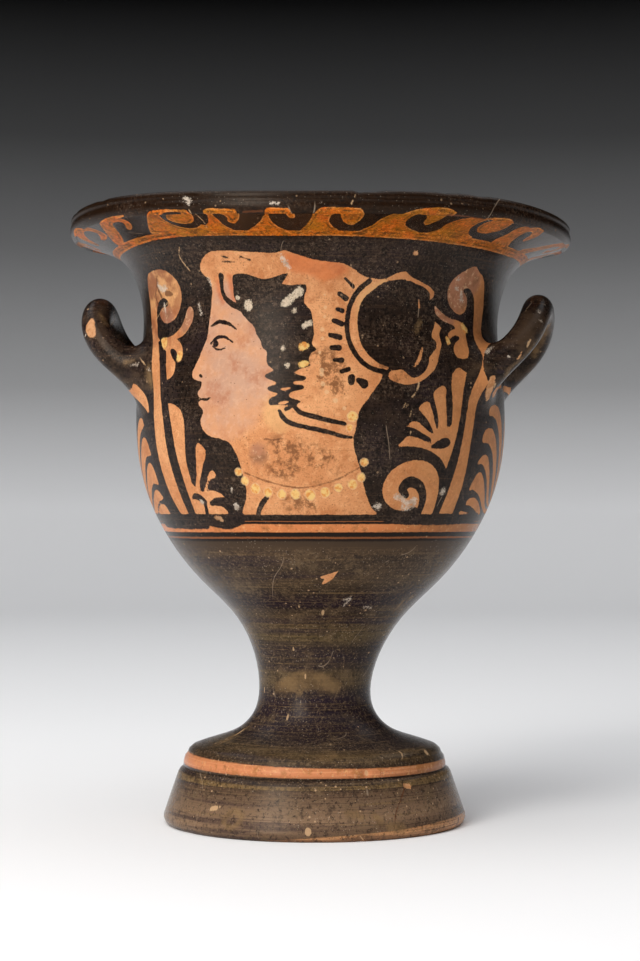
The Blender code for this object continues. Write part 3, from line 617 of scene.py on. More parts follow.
def spaced(curve, step):
    """Points at even steps along a line of straight runs, its corners kept."""
    pieces = [curve[:1]]
    for start, end in zip(curve, curve[1:]):
        count = max(1, math.ceil(np.linalg.norm(end - start) / step))
        pieces.append(start + (end - start) * np.linspace(0, 1, count + 1)[1:, None])
    return np.vstack(pieces)


def inner_curve(wall):
    """The bowl's inside from the lip down to the axis: an even wall, then a dished floor."""
    side = offset(spline(OUTER_STATIONS), wall)
    side = side[(side[:, 0] > FLOOR_RADIUS) & (side[:, 1] > FLOOR_HEIGHT)]
    radii = np.linspace(side[-1, 0], 0.0, 24)[1:]
    rise = (side[-1, 1] - FLOOR_HEIGHT) * (radii / side[-1, 0]) ** FLOOR_POWER
    return np.vstack([side, np.column_stack([radii, FLOOR_HEIGHT + rise])])


def section(wall, turn_per_step, longest_step):
    """Half of the pot's section: up the inside from the axis, over the lip, down the outside, up the foot's hollow."""

    def cut(curve, coarser=1.0):
        return thinned(curve, turn_per_step * coarser, longest_step * coarser)

    return np.vstack([
        cut(inner_curve(wall), 2.2)[::-1], cut(arc(*LIP_BEAD), 1.5), cut(arc(*LIP_ROLL), 1.5),
        cut(spline(OUTER_STATIONS)), spaced(np.array(MOULDING), longest_step),
        spaced(np.array(SKIRT), longest_step), cut(spline(HOLLOW_STATIONS), 2.2),
    ])


def rounded(points, closed=True, step=0.8):
    """A smooth line through the points of an outline, or of a brushed line, whose last value is half its width.

    In a closed outline a third value marks a corner, where the line turns sharply.
    """
    corner = [closed and len(point) == 3 for point in points]
    width = 2 if closed else len(points[0])
    across = 2 if closed else width - 1
    knots = np.array([point[:width] for point in points], float)
    count = len(knots)
    smooth = []
    for i in range(count if closed else count - 1):
        here, there = knots[i], knots[(i + 1) % count]
        before = 2 * here - there if corner[i] or (not closed and i == 0) else knots[i - 1]
        last = corner[(i + 1) % count] or (not closed and i == count - 2)
        after = 2 * there - here if last else knots[(i + 2) % count]
        gaps = [
            max(math.dist(a[:across], b[:across]), 1e-3) ** 0.5
            for a, b in ((before, here), (here, there), (there, after))
        ]
        leave = gaps[1] * ((here - before) / gaps[0] - (there - before) / (gaps[0] + gaps[1])) + (there - here)
        arrive = (there - here) + gaps[1] * ((after - there) / gaps[2] - (after - here) / (gaps[1] + gaps[2]))
        parts = max(2, math.ceil(math.dist(here[:across], there[:across]) / step))
        t = np.linspace(0, 1, parts, endpoint=False)[:, None]
        smooth.append(
            (2 * t**3 - 3 * t**2 + 1) * here + (t**3 - 2 * t**2 + t) * leave
            + (3 * t**2 - 2 * t**3) * there + (t**3 - t**2) * arrive
        )
    if not closed:
        smooth.append(knots[-1:])
    return np.vstack(smooth)


# ------------------------------------------------------------------------------------------ distances


def in_batches(measure, points, size=3000):
    """A measure of many points, worked out some at a time."""
    if not len(points):
        return np.zeros(0)
    return np.concatenate([measure(points[i : i + size]) for i in range(0, len(points), size)])


def along_line(points, start, end):
    """For each point and each straight run: how far along it the nearest place is, and that place's distance."""
    run = end - start
    length = np.maximum((run**2).sum(axis=1), 1e-12)
    reach = points[:, None, :] - start[None]
    t = np.clip((reach * run[None]).sum(axis=2) / length, 0, 1)
    gap = reach - t[..., None] * run[None]
    return t, np.sqrt((gap**2).sum(axis=2))


def depth_in_outline(points, outline):
    """How far inside a closed outline each point lies: below zero outside it."""
    start, end = outline, np.roll(outline, -1, axis=0)

    def measure(batch):
        distance = along_line(batch, start, end)[1].min(axis=1)
        level = batch[:, 1:2]
        crosses = (start[None, :, 1] > level) != (end[None, :, 1] > level)
        rise = end[:, 1] - start[:, 1]
        rise = np.where(np.abs(rise) < 1e-9, 1e-9, rise)
        where = start[:, 0] + (level - start[:, 1]) * (end[:, 0] - start[:, 0]) / rise
        inside = (crosses & (batch[:, :1] < where)).sum(axis=1) % 2 == 1
        return np.where(inside, distance, -distance)

    return in_batches(measure, points)


def depth_in_stroke(points, stroke):
    """How far inside a brushed line each point lies: below zero outside it. The last column is half its width."""
    if len(stroke) == 1:
        stroke = np.vstack([stroke, stroke])

    def measure(batch):
        t, distance = along_line(batch, stroke[:-1, :-1], stroke[1:, :-1])
        half = stroke[:-1, -1] + t * (stroke[1:, -1] - stroke[:-1, -1])
        return (half - distance).max(axis=1)

    return in_batches(measure, points)


def run_along(curve):
    """The length of a line from its start to each of its points."""
    return np.concatenate([[0.0], np.cumsum(np.linalg.norm(np.diff(curve, axis=0), axis=1))])


def in_section(points):
    """Each point's (radius, height)."""
    return np.column_stack([np.hypot(points[:, 0], points[:, 1]), points[:, 2]])


def nearest_on(curve, points):
    """The nearest place of a line to each point, with its distance along the line."""
    start, end = curve[:-1], curve[1:]
    run = run_along(curve)

    def measure(batch):
        t, distance = along_line(batch, start, end)
        best = distance.argmin(axis=1)
        t = t[np.arange(len(batch)), best]
        place = start[best] + t[:, None] * (end - start)[best]
        return np.column_stack([place, run[best] + t * (run[best + 1] - run[best])])

    return in_batches(measure, points)


# ------------------------------------------------------------------------------------------- painting

# How far from an edge the depth is kept, and the half width below which a stroke counts as fine.
REACH = 6.0
FINE_STROKE = 0.9
# How much nearer an edge of wear has to be before the mesh is made finer for it: a fine stroke and a broad one.
FINE_SLACK, BROAD_SLACK = 0.2, 1.0


class Canvas:
    """The paints' depths at a set of places on the pot, in millimetres: above zero inside the paint."""

    def __init__(self, count):
        self.coats = {name: np.full(count, -REACH) for name in PAINTS}
        self.edge = np.full(count, REACH)
        self.fine = np.full(count, REACH)

    def depth(self, places, shape, stroke):
        line = rounded(shape, closed=not stroke)
        across = places.shape[1]
        margin = REACH + (line[:, -1].max() if stroke else 0.0)
        low, high = line[:, :across].min(axis=0) - margin, line[:, :across].max(axis=0) + margin
        near = np.nonzero(((places > low) & (places < high)).all(axis=1))[0]
        measure = depth_in_stroke if stroke else depth_in_outline
        return near, np.clip(measure(places[near], line), -REACH, REACH)

    def note(self, near, depth, fine, slack=0.0):
        """Notes an edge that the mesh must follow; slack draws in how far around it the mesh is made finer."""
        self.edge[near] = np.minimum(self.edge[near], np.abs(depth) + slack)
        if fine:
            self.fine[near] = np.minimum(self.fine[near], np.abs(depth) + slack)

    def lay(self, coat, places, *shapes, stroke=False, fine=False, soft=False, slack=0.0):
        for shape in shapes:
            near, depth = self.depth(places, shape, stroke)
            self.coats[coat][near] = np.maximum(self.coats[coat][near], depth)
            if not soft:
                self.note(near, depth, fine, slack)

    def cut(self, coat, places, *shapes, stroke=False, fine=False):
        for shape in shapes:
            near, depth = self.depth(places, shape, stroke)
            self.coats[coat][near] = np.minimum(self.coats[coat][near], -depth)
            self.note(near, depth, fine)

    def wear(self, places, strokes):
        for coat, lines in strokes.items():
            for line in lines:
                small = max(row[-1] for row in line) < FINE_STROKE
                self.lay(coat, places, line, stroke=True, fine=small, slack=FINE_SLACK if small else BROAD_SLACK)

    def dots(self, coat, places, *discs):
        self.lay(coat, places, *[(disc,) for disc in discs], stroke=True, fine=True)


def back_petals():
    """The petals on one side of the back's middle line, each a drop that widens from the heart to a round tip."""
    for lean, length, half in BACK_PETALS:
        way = Vector((math.sin(math.radians(lean)), math.cos(math.radians(lean))))
        heart = Vector(BACK_HEART) + way * 7.0
        yield tuple(
            (*(heart + way * (length - 7.0) * t), half * w)
            for t, w in ((0.0, 0.30), (0.35, 0.52), (0.70, 0.86), (0.92, 1.0))
        )


def paint_body(canvas, places):
    """Both sides' stems and fans, the front's head and scrolls, and the plainer back."""
    girth, height = places.T
    side = np.where(girth < 0, -1.0, 1.0)
    folded = np.column_stack([np.where(np.abs(girth) > HALF_ROUND / 2, side * HALF_ROUND - girth, girth), height])
    from_back = np.column_stack([HALF_ROUND - np.abs(girth), height])
    canvas.lay("clay", folded, LEFT_STEM, RIGHT_STEM, *LEFT_FAN, *RIGHT_FAN)
    canvas.lay("clay", places, HEAD, BLOSSOM, RIGHT_BLOSSOM, LEFT_LEAF, RIGHT_LEAF, RIGHT_SCROLL, *SMALL_PETALS)
    canvas.cut("clay", places, HAIR, fine=True)
    canvas.cut("clay", places, BUN)
    canvas.lay("clay", places, BUN_ROLL, BUN_RIM)
    canvas.cut("clay", places, *FRONT_STROKES, *SAKKOS_DASHES, stroke=True, fine=True)
    canvas.lay("clay", from_back, *back_petals(), BACK_SCROLL, stroke=True)
    canvas.dots("clay", from_back, (0.0, 186.0, 4.2))
    canvas.lay("wash", places, DEEP_BAND)
    canvas.lay("white", places, *WHITE_LEAVES, fine=True)
    canvas.dots("white", places, (-31.2, 252.9, 1.0), (-8.2, 229.3, 1.1), (-5.9, 221.4, 1.2))
    canvas.dots("pale", places, *SAKKOS_DOTS, *[(girth, height, radius + 0.3) for girth, height, radius in BEADS])
    canvas.lay("gold", places, *GOLD_DABS)
    canvas.dots("gold", places, *[(girth, height, radius - 0.1) for girth, height, radius in BEADS])
    canvas.lay("clay", places, BLACK_FLAKE, fine=True)
    for coat, outlines in SOFT_PATCHES.items():
        canvas.lay(coat, places, *outlines, soft=True)
    canvas.wear(places, SMALL_STROKES)


def wrapped(run, centre):
    """Runs along the lip counted from a centre, the short way round."""
    whole = 2 * math.pi * LIP_RADIUS
    return (run - centre + whole / 2) % whole - whole / 2


def paint_lip(canvas, places):
    """The running wave on the lip: the crests at the front one by one, and a plain repeat round the back."""
    run, width = places.T
    centre, half = (np.interp(run, [x for x, *_ in LIP_STRIP], values) for values in zip(*[p[1:] for p in LIP_STRIP]))
    strip = np.clip(half - np.abs(width - centre), -REACH, REACH)
    canvas.coats["clay"] = np.maximum(canvas.coats["clay"], strip)
    canvas.note(slice(None), strip, False)
    canvas.lay("clay", places, *LIP_CRESTS)
    canvas.cut("clay", places, *LIP_GAPS, stroke=True)
    canvas.lay("clay", places, *LIP_HOOKS, stroke=True)
    chance = np.random.default_rng(7)
    for i in range(HIDDEN_WAVES):
        start = 150.0 + WAVE_PITCH * (i + chance.uniform(-0.05, 0.05))
        canvas.lay("clay", np.column_stack([wrapped(run, start), width]), WAVE_HOOK, stroke=True)
    canvas.wear(places, LIP_STROKES)


def painted(spots):
    """The whole painting at the given vertices: each field's places, which vertices are on it, and its painter."""
    canvas = Canvas(len(spots["body"][0]))
    painters = {"body": paint_body, "lip": paint_lip, "handles": lambda part, places: part.wear(places, HANDLE_STROKES)}
    for field, paint in painters.items():
        places, where = spots[field]
        part = Canvas(int(where.sum()))
        paint(part, places[where])
        canvas.edge[where] = np.minimum(canvas.edge[where], part.edge)
        canvas.fine[where] = np.minimum(canvas.fine[where], part.fine)
        for name in PAINTS:
            canvas.coats[name][where] = np.maximum(canvas.coats[name][where], part.coats[name])
    return canvas


# ------------------------------------------------------------------------------------------- throwing


def thrown(points, turns):
    """A closed body turned about Z from (radius, height) points that start and end on the axis."""
    shape = bmesh.new()
    line = [shape.verts.new((radius, 0.0, height)) for radius, height in points]
    edges = [shape.edges.new(pair) for pair in zip(line, line[1:])]
    bmesh.ops.spin(
        shape, geom=line + edges, cent=(0, 0, 0), axis=(0, 0, 1), dvec=(0, 0, 0), angle=2 * math.pi, steps=turns,
        use_merge=True, use_normal_flip=False, use_duplicate=False,
    )
    bmesh.ops.remove_doubles(shape, verts=shape.verts, dist=0.001)
    bmesh.ops.recalc_face_normals(shape, faces=shape.faces)
    return shape


def handle_line(side, steps=44):
    """The middle line of a loop from root to root, with its thickness, as rows of x, y, z and thickness."""
    start, control, end = (np.array(point) for point in HANDLE_SIDE[side])
    t = np.linspace(0, 1, 200)[:, None]
    view = (1 - t) ** 2 * start + 2 * t * (1 - t) * control + t**2 * end
    run = run_along(view)
    straight = run[-1] - HANDLE_HALF_SPAN
    arms = np.linspace(0.0, straight, steps // 3, endpoint=False)
    turns = np.radians(np.linspace(0.0, 90.0, steps - len(arms)))
    reach = np.concatenate([arms, straight + HANDLE_HALF_SPAN * np.sin(turns)])
    sideways = np.concatenate([np.full(len(arms), HANDLE_HALF_SPAN), HANDLE_HALF_SPAN * np.cos(turns)])
    outwards, upwards = (np.interp(reach, run, view[:, axis]) for axis in (0, 1))
    thickness = 1 + HANDLE_FLARE * np.exp(-((reach / HANDLE_FLARE_REACH) ** 2))
    half = np.column_stack([outwards, sideways, upwards, thickness])
    loop = np.vstack([half, half[-2::-1] * (1, -1, 1, 1)])
    turn = math.radians(HANDLE_TURN[side])
    x, y = loop[:, 0].copy(), loop[:, 1].copy()
    loop[:, 0], loop[:, 1] = x * math.cos(turn) - y * math.sin(turn), x * math.sin(turn) + y * math.cos(turn)
    return loop


def rod(line, radius, sides=28):
    """A round rod along a line: one ring drawn from station to station without twisting, its ends filled."""
    centres = [Vector(row[:3]) for row in line]
    shape = bmesh.new()
    ring = bmesh.ops.create_circle(shape, segments=sides, radius=1.0)["verts"]
    edges = list(shape.edges)
    placed, frame_axes = Matrix.Identity(4), None
    for i, centre in enumerate(centres):
        way = (centres[min(i + 1, len(centres) - 1)] - centres[max(i - 1, 0)]).normalized()
        if frame_axes is None:
            frame_axes = Vector((0, 0, 1)).rotation_difference(way)
        else:
            frame_axes = (frame_axes @ Vector((0, 0, 1))).rotation_difference(way) @ frame_axes
            grown = bmesh.ops.extrude_edge_only(shape, edges=edges)["geom"]
            ring = [item for item in grown if isinstance(item, bmesh.types.BMVert)]
            edges = [item for item in grown if isinstance(item, bmesh.types.BMEdge)]
        place = Matrix.LocRotScale(centre, frame_axes, Vector((1, 1, 1)) * radius * line[i, 3])
        bmesh.ops.transform(shape, matrix=place @ placed.inverted(), verts=ring)
        placed = place
    bmesh.ops.holes_fill(shape, edges=[edge for edge in shape.edges if edge.is_boundary], sides=sides)
    bmesh.ops.recalc_face_normals(shape, faces=shape.faces)
    return shape


def as_object(name, shape):
    mesh = bpy.data.meshes.new(name)
    shape.to_mesh(mesh)
    shape.free()
    made = bpy.data.objects.new(name, mesh)
    bpy.context.scene.collection.objects.link(made)
    return made


def joined(thing, *steps):
    """A new bmesh of the object after Boolean steps, each (operation, other object). All the objects are dropped."""
    for operation, other in steps:
        modifier = thing.modifiers.new(operation, "BOOLEAN")
        modifier.operation, modifier.solver, modifier.object = operation, "EXACT", other
    bpy.context.view_layer.update()
    mesh = bpy.data.meshes.new_from_object(thing.evaluated_get(bpy.context.evaluated_depsgraph_get()))
    shape = bmesh.new()
    shape.from_mesh(mesh)
    for dropped in (thing, *[other for _, other in steps]):
        bpy.data.meshes.remove(dropped.data)
    bpy.data.meshes.remove(mesh)
    bmesh.ops.remove_doubles(shape, verts=shape.verts, dist=0.004)
    return shape


class Form:
    """The pot's true surface before it settled, against which the mesh's vertices are placed."""

    def __init__(self, wall, rod_radius, fillet):
        self.profile = section(wall, math.radians(1.2), 2.0)
        self.outside = spline(OUTER_STATIONS)
        self.profile_outside = np.vstack([self.outside, MOULDING, SKIRT])
        self.rods = [handle_line(side, 90) for side in HANDLE_TURN]
        self.rod_radius, self.fillet = rod_radius, fillet

    def off_wall(self, points):
        """Distance outwards from the bowl's outer face."""
        flat = in_section(points)
        place = nearest_on(self.outside, flat)
        way = np.gradient(self.outside, axis=0)
        run = run_along(self.outside)
        along = np.column_stack([np.interp(place[:, 2], run, way[:, axis]) for axis in (0, 1)])
        gap = flat - place[:, :2]
        return np.where(gap[:, 1] * along[:, 0] - gap[:, 0] * along[:, 1] > 0, 1, -1) * np.hypot(*gap.T)

    def off_rods(self, points):
        """Distance outwards from the nearer handle's surface."""

        def measure(batch):
            gaps = []
            for line in self.rods:
                t, distance = along_line(batch, line[:-1, :3], line[1:, :3])
                radius = self.rod_radius * (line[:-1, 3] + t * (line[1:, 3] - line[:-1, 3]))
                gaps.append((distance - radius).min(axis=1))
            return np.minimum(*gaps)

        return in_batches(measure, points)

    def blended(self, points):
        """Distance from the wall and rods together, with the corner between them filled."""
        wall, rods = self.off_wall(points), self.off_rods(points)
        overlap = np.maximum(self.fillet - np.abs(wall - rods), 0) / self.fillet
        return np.minimum(wall, rods) - overlap**2 * self.fillet / 4

    def smooth_roots(self, points, passes=4):
        """Draws points onto the filled corner."""
        for _ in range(passes):
            here = self.blended(points)
            slope = np.column_stack([
                (self.blended(points + step) - self.blended(points - step)) / 0.1 for step in np.eye(3) * 0.05
            ])
            points = points - slope * (here / np.maximum((slope**2).sum(axis=1), 0.2))[:, None]
        return points

    def on_profile(self, points):
        """Draws points onto the turned surface."""
        radius = np.hypot(points[:, 0], points[:, 1])
        place = nearest_on(self.profile, np.column_stack([radius, points[:, 2]]))
        scale = np.where(radius > 0.5, place[:, 0] / np.maximum(radius, 0.5), 1.0)
        return np.column_stack([points[:, 0] * scale, points[:, 1] * scale, place[:, 1]])


def coordinates(shape):
    return np.array([vertex.co for vertex in shape.verts], float).reshape(-1, 3)


def move(shape, points, chosen):
    for vertex, point in zip(list(shape.verts), points):
        if chosen[vertex.index]:
            vertex.co = point


def split(shape, edges):
    bmesh.ops.subdivide_edges(shape, edges=edges, cuts=1, use_grid_fill=True)
    shape.verts.index_update()


ROOT_EDGES = (3.6, 2.6)  # The longest edge left round the roots after each round of splitting.
ROOT_ZONE = (180.0, 285.0)  # The heights between which the roots lie.
ROOT_RADIUS = 70.0  # The roots lie further out than this.
INSIDE_WALL = -2.0  # Clay deeper in the wall than this belongs to no handle.


def join_handles(sizes):
    """The thrown pot with both handles set on its wall and their roots smoothed over, in millimetres."""
    wall, radius, fillet = (value / MM for value in (sizes.wall, sizes.rod, sizes.fillet))
    pot = as_object("pot", thrown(section(wall, math.radians(5), 4.5), sizes.turns))
    middle = offset(spline(OUTER_STATIONS), wall / 2)
    side = middle[(middle[:, 1] > HANDLE_TRIM[0]) & (middle[:, 1] < HANDLE_TRIM[1])]
    plug = np.vstack([[(0.0, side[0, 1])], thinned(side, math.radians(6), 8.0), [(0.0, side[-1, 1])]])
    loops = []
    for name in HANDLE_TURN:
        trimmer = as_object("trimmer", thrown(plug, 96))
        loop = as_object(f"loop_{name}", rod(handle_line(name), radius))
        loops.append(as_object(f"loop_{name}", joined(loop, ("DIFFERENCE", trimmer))))
    shape = joined(pot, *[("UNION", loop) for loop in loops])
    bmesh.ops.triangulate(shape, faces=[face for face in shape.faces if len(face.verts) > 4])
    shape.verts.index_update()
    form = Form(wall, radius, fillet)
    for limit in ROOT_EDGES:
        points = coordinates(shape)
        reach = fillet + limit
        radii, heights = in_section(points).T
        rough = np.nonzero((radii > ROOT_RADIUS) & (heights > ROOT_ZONE[0]) & (heights < ROOT_ZONE[1]))[0]
        near = np.zeros(len(points), bool)
        off_wall, off_rods = form.off_wall(points[rough]), form.off_rods(points[rough])
        near[rough] = (np.abs(off_wall) < reach) & (np.abs(off_rods) < reach) & (off_wall > INSIDE_WALL)
        split(shape, [
            edge for edge in shape.edges
            if near[edge.verts[0].index] and near[edge.verts[1].index] and edge.calc_length() > limit
        ])
    points = coordinates(shape)
    off_wall, off_rods = form.off_wall(points), form.off_rods(points)
    free = (off_rods < fillet) & (off_wall > INSIDE_WALL) & (points[:, 2] > ROOT_ZONE[0])
    root = free & (off_wall < 1.6 * fillet)
    moved = points.copy()
    moved[root] = form.smooth_roots(points[root])
    move(shape, moved, root)
    mark = shape.verts.layers.float.new("free")
    for vertex in shape.verts:
        vertex[mark] = float(free[vertex.index])
    bmesh.ops.recalc_face_normals(shape, faces=shape.faces)
    return shape, form


def painter_places(form, points, free):
    """For each field of the painting, every point's place in it and which points lie on it.

    The body's places are (girth, height), the lip's (run, width), and the handles' are plain ones.
    """
    turn = np.arctan2(points[:, 0], -points[:, 1])
    radius = np.hypot(points[:, 0], points[:, 1])
    outline = np.vstack([form.profile_outside[::-1], arc(*LIP_ROLL)[::-1], arc(*LIP_BEAD)[::-1]])
    near = nearest_on(outline, np.column_stack([radius, points[:, 2]]))
    run = run_along(outline)
    bowl = slice(len(outline) - 24 - len(form.outside), len(outline) - 24)
    junction = np.interp(JUNCTION_HEIGHT, outline[bowl, 1], run[bowl])
    gap = np.hypot(radius - near[:, 0], points[:, 2] - near[:, 1])
    on_body = (gap < np.where(free, ROOT_PAINT, WALL_PAINT)) & (near[:, 2] < junction)
    on_lip = (gap < WALL_PAINT) & (near[:, 2] > junction - LIP_OVERLAP)
    on_handles = free | ((radius > 80) & (np.abs(points[:, 2] - 220) < 25))
    return {
        "body": (np.column_stack([GIRTH_RADIUS * turn, points[:, 2]]), on_body),
        "lip": (np.column_stack([LIP_RADIUS * turn, near[:, 2] - junction]), on_lip),
        "handles": (points, on_handles),
    }


# Each round of splitting, as (distance from an edge, fine edges only, how far back in Y it goes).
REFINING = ((3.0, False, math.inf), (1.4, False, 8.0), (0.7, True, 8.0))


def refine_for_painting(shape, form):
    """Splits the faces under the drawing's edges, finer step by step, and keeps the turned surface true."""
    mark = shape.verts.layers.float["free"]
    for reach, fine, back in REFINING:
        free = np.array([vertex[mark] > 0.5 for vertex in shape.verts])
        points = coordinates(shape)
        canvas = painted(painter_places(form, points, free))
        near = ((canvas.fine if fine else canvas.edge) < reach) & (points[:, 1] < back)
        faces = [face for face in shape.faces if any(near[vertex.index] for vertex in face.verts)]
        known = len(shape.verts)
        split(shape, list({edge for face in faces for edge in face.edges}))
        points = coordinates(shape)
        fresh = np.array([vertex.index >= known and vertex[mark] < 0.01 for vertex in shape.verts])
        points[fresh] = form.on_profile(points[fresh])
        move(shape, points, fresh)
        print(f"faces {len(shape.faces)}, vertices {known} -> {len(shape.verts)}")


# ------------------------------------------------------------------------------------------- firing


def ease(value, zone):
    """0 below a zone, 1 above it, and a smooth step between."""
    t = np.clip((value - zone[0]) / (zone[1] - zone[0]), 0.0, 1.0)
    return t * t * (3 - 2 * t)


def chipped(shape):
    """The vertices' places after the chips and flakes, each a shallow hollow with a plain edge."""
    shape.normal_update()
    points = coordinates(shape)
    outwards = np.array([vertex.normal for vertex in shape.verts])
    for turn, radius, height, reach, depth in DENTS:
        angle = math.radians(turn)
        centre = np.array([radius * math.sin(angle), -radius * math.cos(angle), height])
        inside = 1 - np.linalg.norm(points - centre, axis=1) / reach
        points = points - outwards * (depth * ease(inside, (0.0, 0.45)))[:, None]
    return points


def settled(points, sizes):
    """Points after the fired pot went a little out of true."""
    x, y, height = points.T
    wave = sizes.rim_wave / MM * (1 - np.cos(4 * np.arctan2(y, x)))
    return np.column_stack([
        x + sizes.foot_shift / MM * (1 - ease(height, FOOT_SHIFT_ZONE)), y,
        height + wave * ease(height, RIM_WAVE_ZONE) - x * sizes.rim_tilt * ease(height, RIM_TILT_ZONE),
    ])


def set_finishes(shape, form):
    """Gives each face its finish: 0 painted outside, 1 inside the bowl, 2 under the foot."""
    run = run_along(form.profile)
    ends = nearest_on(form.profile, np.vstack([arc(*LIP_BEAD)[:1], SKIRT[-1]]))[:, 2]
    middles = np.array([face.calc_center_median() for face in shape.faces])
    place = np.clip(nearest_on(form.profile, in_section(middles))[:, 2], 0, run[-1])
    mark = shape.verts.layers.float["free"]
    for face, where in zip(shape.faces, place):
        rod_face = any(vertex[mark] > 0.5 for vertex in face.verts)
        face.material_index = 0 if rod_face else int(where < ends[0]) + 2 * int(where > ends[1])
        face.smooth = True


def make_pot(sizes, colours):
    """The whole pot as one closed mesh with its painting in vertex attributes."""
    shape, form = join_handles(sizes)
    refine_for_painting(shape, form)
    points = coordinates(shape)
    mark = shape.verts.layers.float["free"]
    rods = np.array([vertex[mark] for vertex in shape.verts])
    canvas = painted(painter_places(form, points, rods > 0.5))
    set_finishes(shape, form)
    bmesh.ops.recalc_face_normals(shape, faces=shape.faces)
    for vertex, point in zip(shape.verts, settled(chipped(shape), sizes) * MM):
        vertex.co = point
    made = as_object(PIECE, shape)
    columns = dict(canvas.coats, rise=points[:, 2], rods=rods)
    for name, values in columns.items():
        layer = made.data.attributes.new(name, "FLOAT", "POINT")
        layer.data.foreach_set("value", np.asarray(values, np.float32))
    made.data.attributes.remove(made.data.attributes["free"])
    made.data.set_sharp_from_angle(angle=math.radians(50))
    for finish in (painted_slip(colours), bowl_slip(colours), bare_clay(colours)):
        made.data.materials.append(finish)
    return made


# ------------------------------------------------------------------------------------------- finishes


class Recipe:
    """A node tree written as nested calls. A value may be a number, a colour or another node's output."""

    def __init__(self, tree):
        self.tree = tree

    def feed(self, socket, value):
        if isinstance(value, bpy.types.NodeSocket):
            self.tree.links.new(value, socket)
        elif socket.type == "RGBA" and isinstance(value, tuple) and len(value) == 3:
            socket.default_value = (*value, 1.0)
        else:
            socket.default_value = value

    def add(self, kind, inputs=None, **settings):
        node = self.tree.nodes.new(kind)
        for name, value in settings.items():
            setattr(node, name, value)
        for name, value in (inputs or {}).items():
            self.feed(node.inputs[name], value)
        return node

    def calc(self, operation, *values):
        return self.add("ShaderNodeMath", dict(enumerate(values)), operation=operation).outputs[0]

    def plus(self, *values):
        total = values[0]
        for value in values[1:]:
            total = self.calc("ADD", total, value)
        return total

    def times(self, *values):
        total = values[0]
        for value in values[1:]:
            total = self.calc("MULTIPLY", total, value)
        return total

    def off(self, value):
        """What a 0 to 1 mask leaves free."""
        return self.calc("SUBTRACT", 1.0, value)

    def step(self, value, low, high, start=0.0, end=1.0):
        """A smooth rise from start to end while a value goes from low to high."""
        inputs = {"Value": value, "From Min": low, "From Max": high, "To Min": start, "To Max": end}
        return self.add("ShaderNodeMapRange", inputs, interpolation_type="SMOOTHSTEP").outputs[0]

    def mix(self, amount, first, second, blend_type="MIX"):
        node = self.add("ShaderNodeMix", data_type="RGBA", blend_type=blend_type)
        for index, value in ((0, amount), (6, first), (7, second)):
            self.feed(node.inputs[index], value)
        return node.outputs[2]

    def layered(self, colour, *layers):
        """The colour under layers of (how much, colour), the last one on top."""
        for amount, over in layers:
            colour = self.mix(amount, colour, over)
        return colour

    def coat(self, name):
        return self.add("ShaderNodeAttribute", attribute_name=name).outputs["Fac"]

    def place(self, stretch=(1, 1, 1), shift=(0, 0, 0)):
        """Object coordinates, squeezed and shifted."""
        where = self.add("ShaderNodeTexCoord").outputs["Object"]
        inputs = {"Vector": where, "Scale": stretch, "Location": shift}
        return self.add("ShaderNodeMapping", inputs).outputs[0]

    def noise(self, scale, detail=2.0, roughness=0.5, stretch=(1, 1, 1), shift=(0, 0, 0)):
        inputs = {
            "Vector": self.place(stretch, shift), "Scale": scale, "Detail": detail, "Roughness": roughness,
        }
        return self.add("ShaderNodeTexNoise", inputs).outputs[0]

    def wobble(self, scale, detail=2.0, roughness=0.5, **place):
        """Noise about zero."""
        return self.calc("SUBTRACT", self.noise(scale, detail, roughness, **place), 0.5)

    def patches(self, scale, low, high, amount=1.0, detail=4.0, roughness=0.62, **place):
        """Soft patches: how much of a layer shows where noise passes from low to high."""
        return self.step(self.noise(scale, detail, roughness, **place), low, high, 0.0, amount)

    def ramp(self, value, stops):
        node = self.add("ShaderNodeValToRGB", {"Fac": value})
        band = node.color_ramp
        while len(band.elements) < len(stops):
            band.elements.new(1.0)
        for element, (where, colour) in zip(band.elements, stops):
            element.position = where
            element.color = (*colour, 1.0)
        return node.outputs[0]

    def group(self, effect, **values):
        """A shared effect with this material's own values, and its outputs by name."""
        node = self.add("ShaderNodeGroup", node_tree=effect)
        for name, value in values.items():
            self.feed(node.inputs[name], value)
        return node.outputs


def shared_effect(name, inputs, outputs):
    """An empty node group with number sockets, its recipe, what comes in by name and the node that things leave by."""
    tree = bpy.data.node_groups.get(name)
    if tree:
        return tree, None, None, None
    tree = bpy.data.node_groups.new(name, "ShaderNodeTree")
    for label, default in inputs.items():
        tree.interface.new_socket(label, in_out="INPUT", socket_type="NodeSocketFloat").default_value = default
    for label in outputs:
        tree.interface.new_socket(label, in_out="OUTPUT", socket_type="NodeSocketFloat")
    recipe = Recipe(tree)
    return tree, recipe, recipe.add("NodeGroupInput").outputs, recipe.add("NodeGroupOutput").inputs


def dust():
    """Small round specks in some of the cells of a scatter, gathered in clusters."""
    tree, r, given, leave = shared_effect("dust", dict(Scatter=600, Size=0.25, Share=0.15, Clusters=30), ["Specks"])
    if r:
        cells = r.add("ShaderNodeTexVoronoi", {"Vector": r.place(), "Scale": given["Scatter"]})
        chance = r.add("ShaderNodeSeparateColor", {"Color": cells.outputs["Color"]}).outputs
        size = r.times(given["Size"], r.step(chance[1], 0.0, 1.0, 0.5, 1.2))
        round_spot = r.step(cells.outputs["Distance"], r.times(size, 0.6), size, 1.0, 0.0)
        cluster = r.patches(given["Clusters"], 0.38, 0.66, 2.0, 3.0)
        r.feed(leave["Specks"], r.times(round_spot, r.calc("LESS_THAN", chance[0], r.times(given["Share"], cluster))))
    return tree


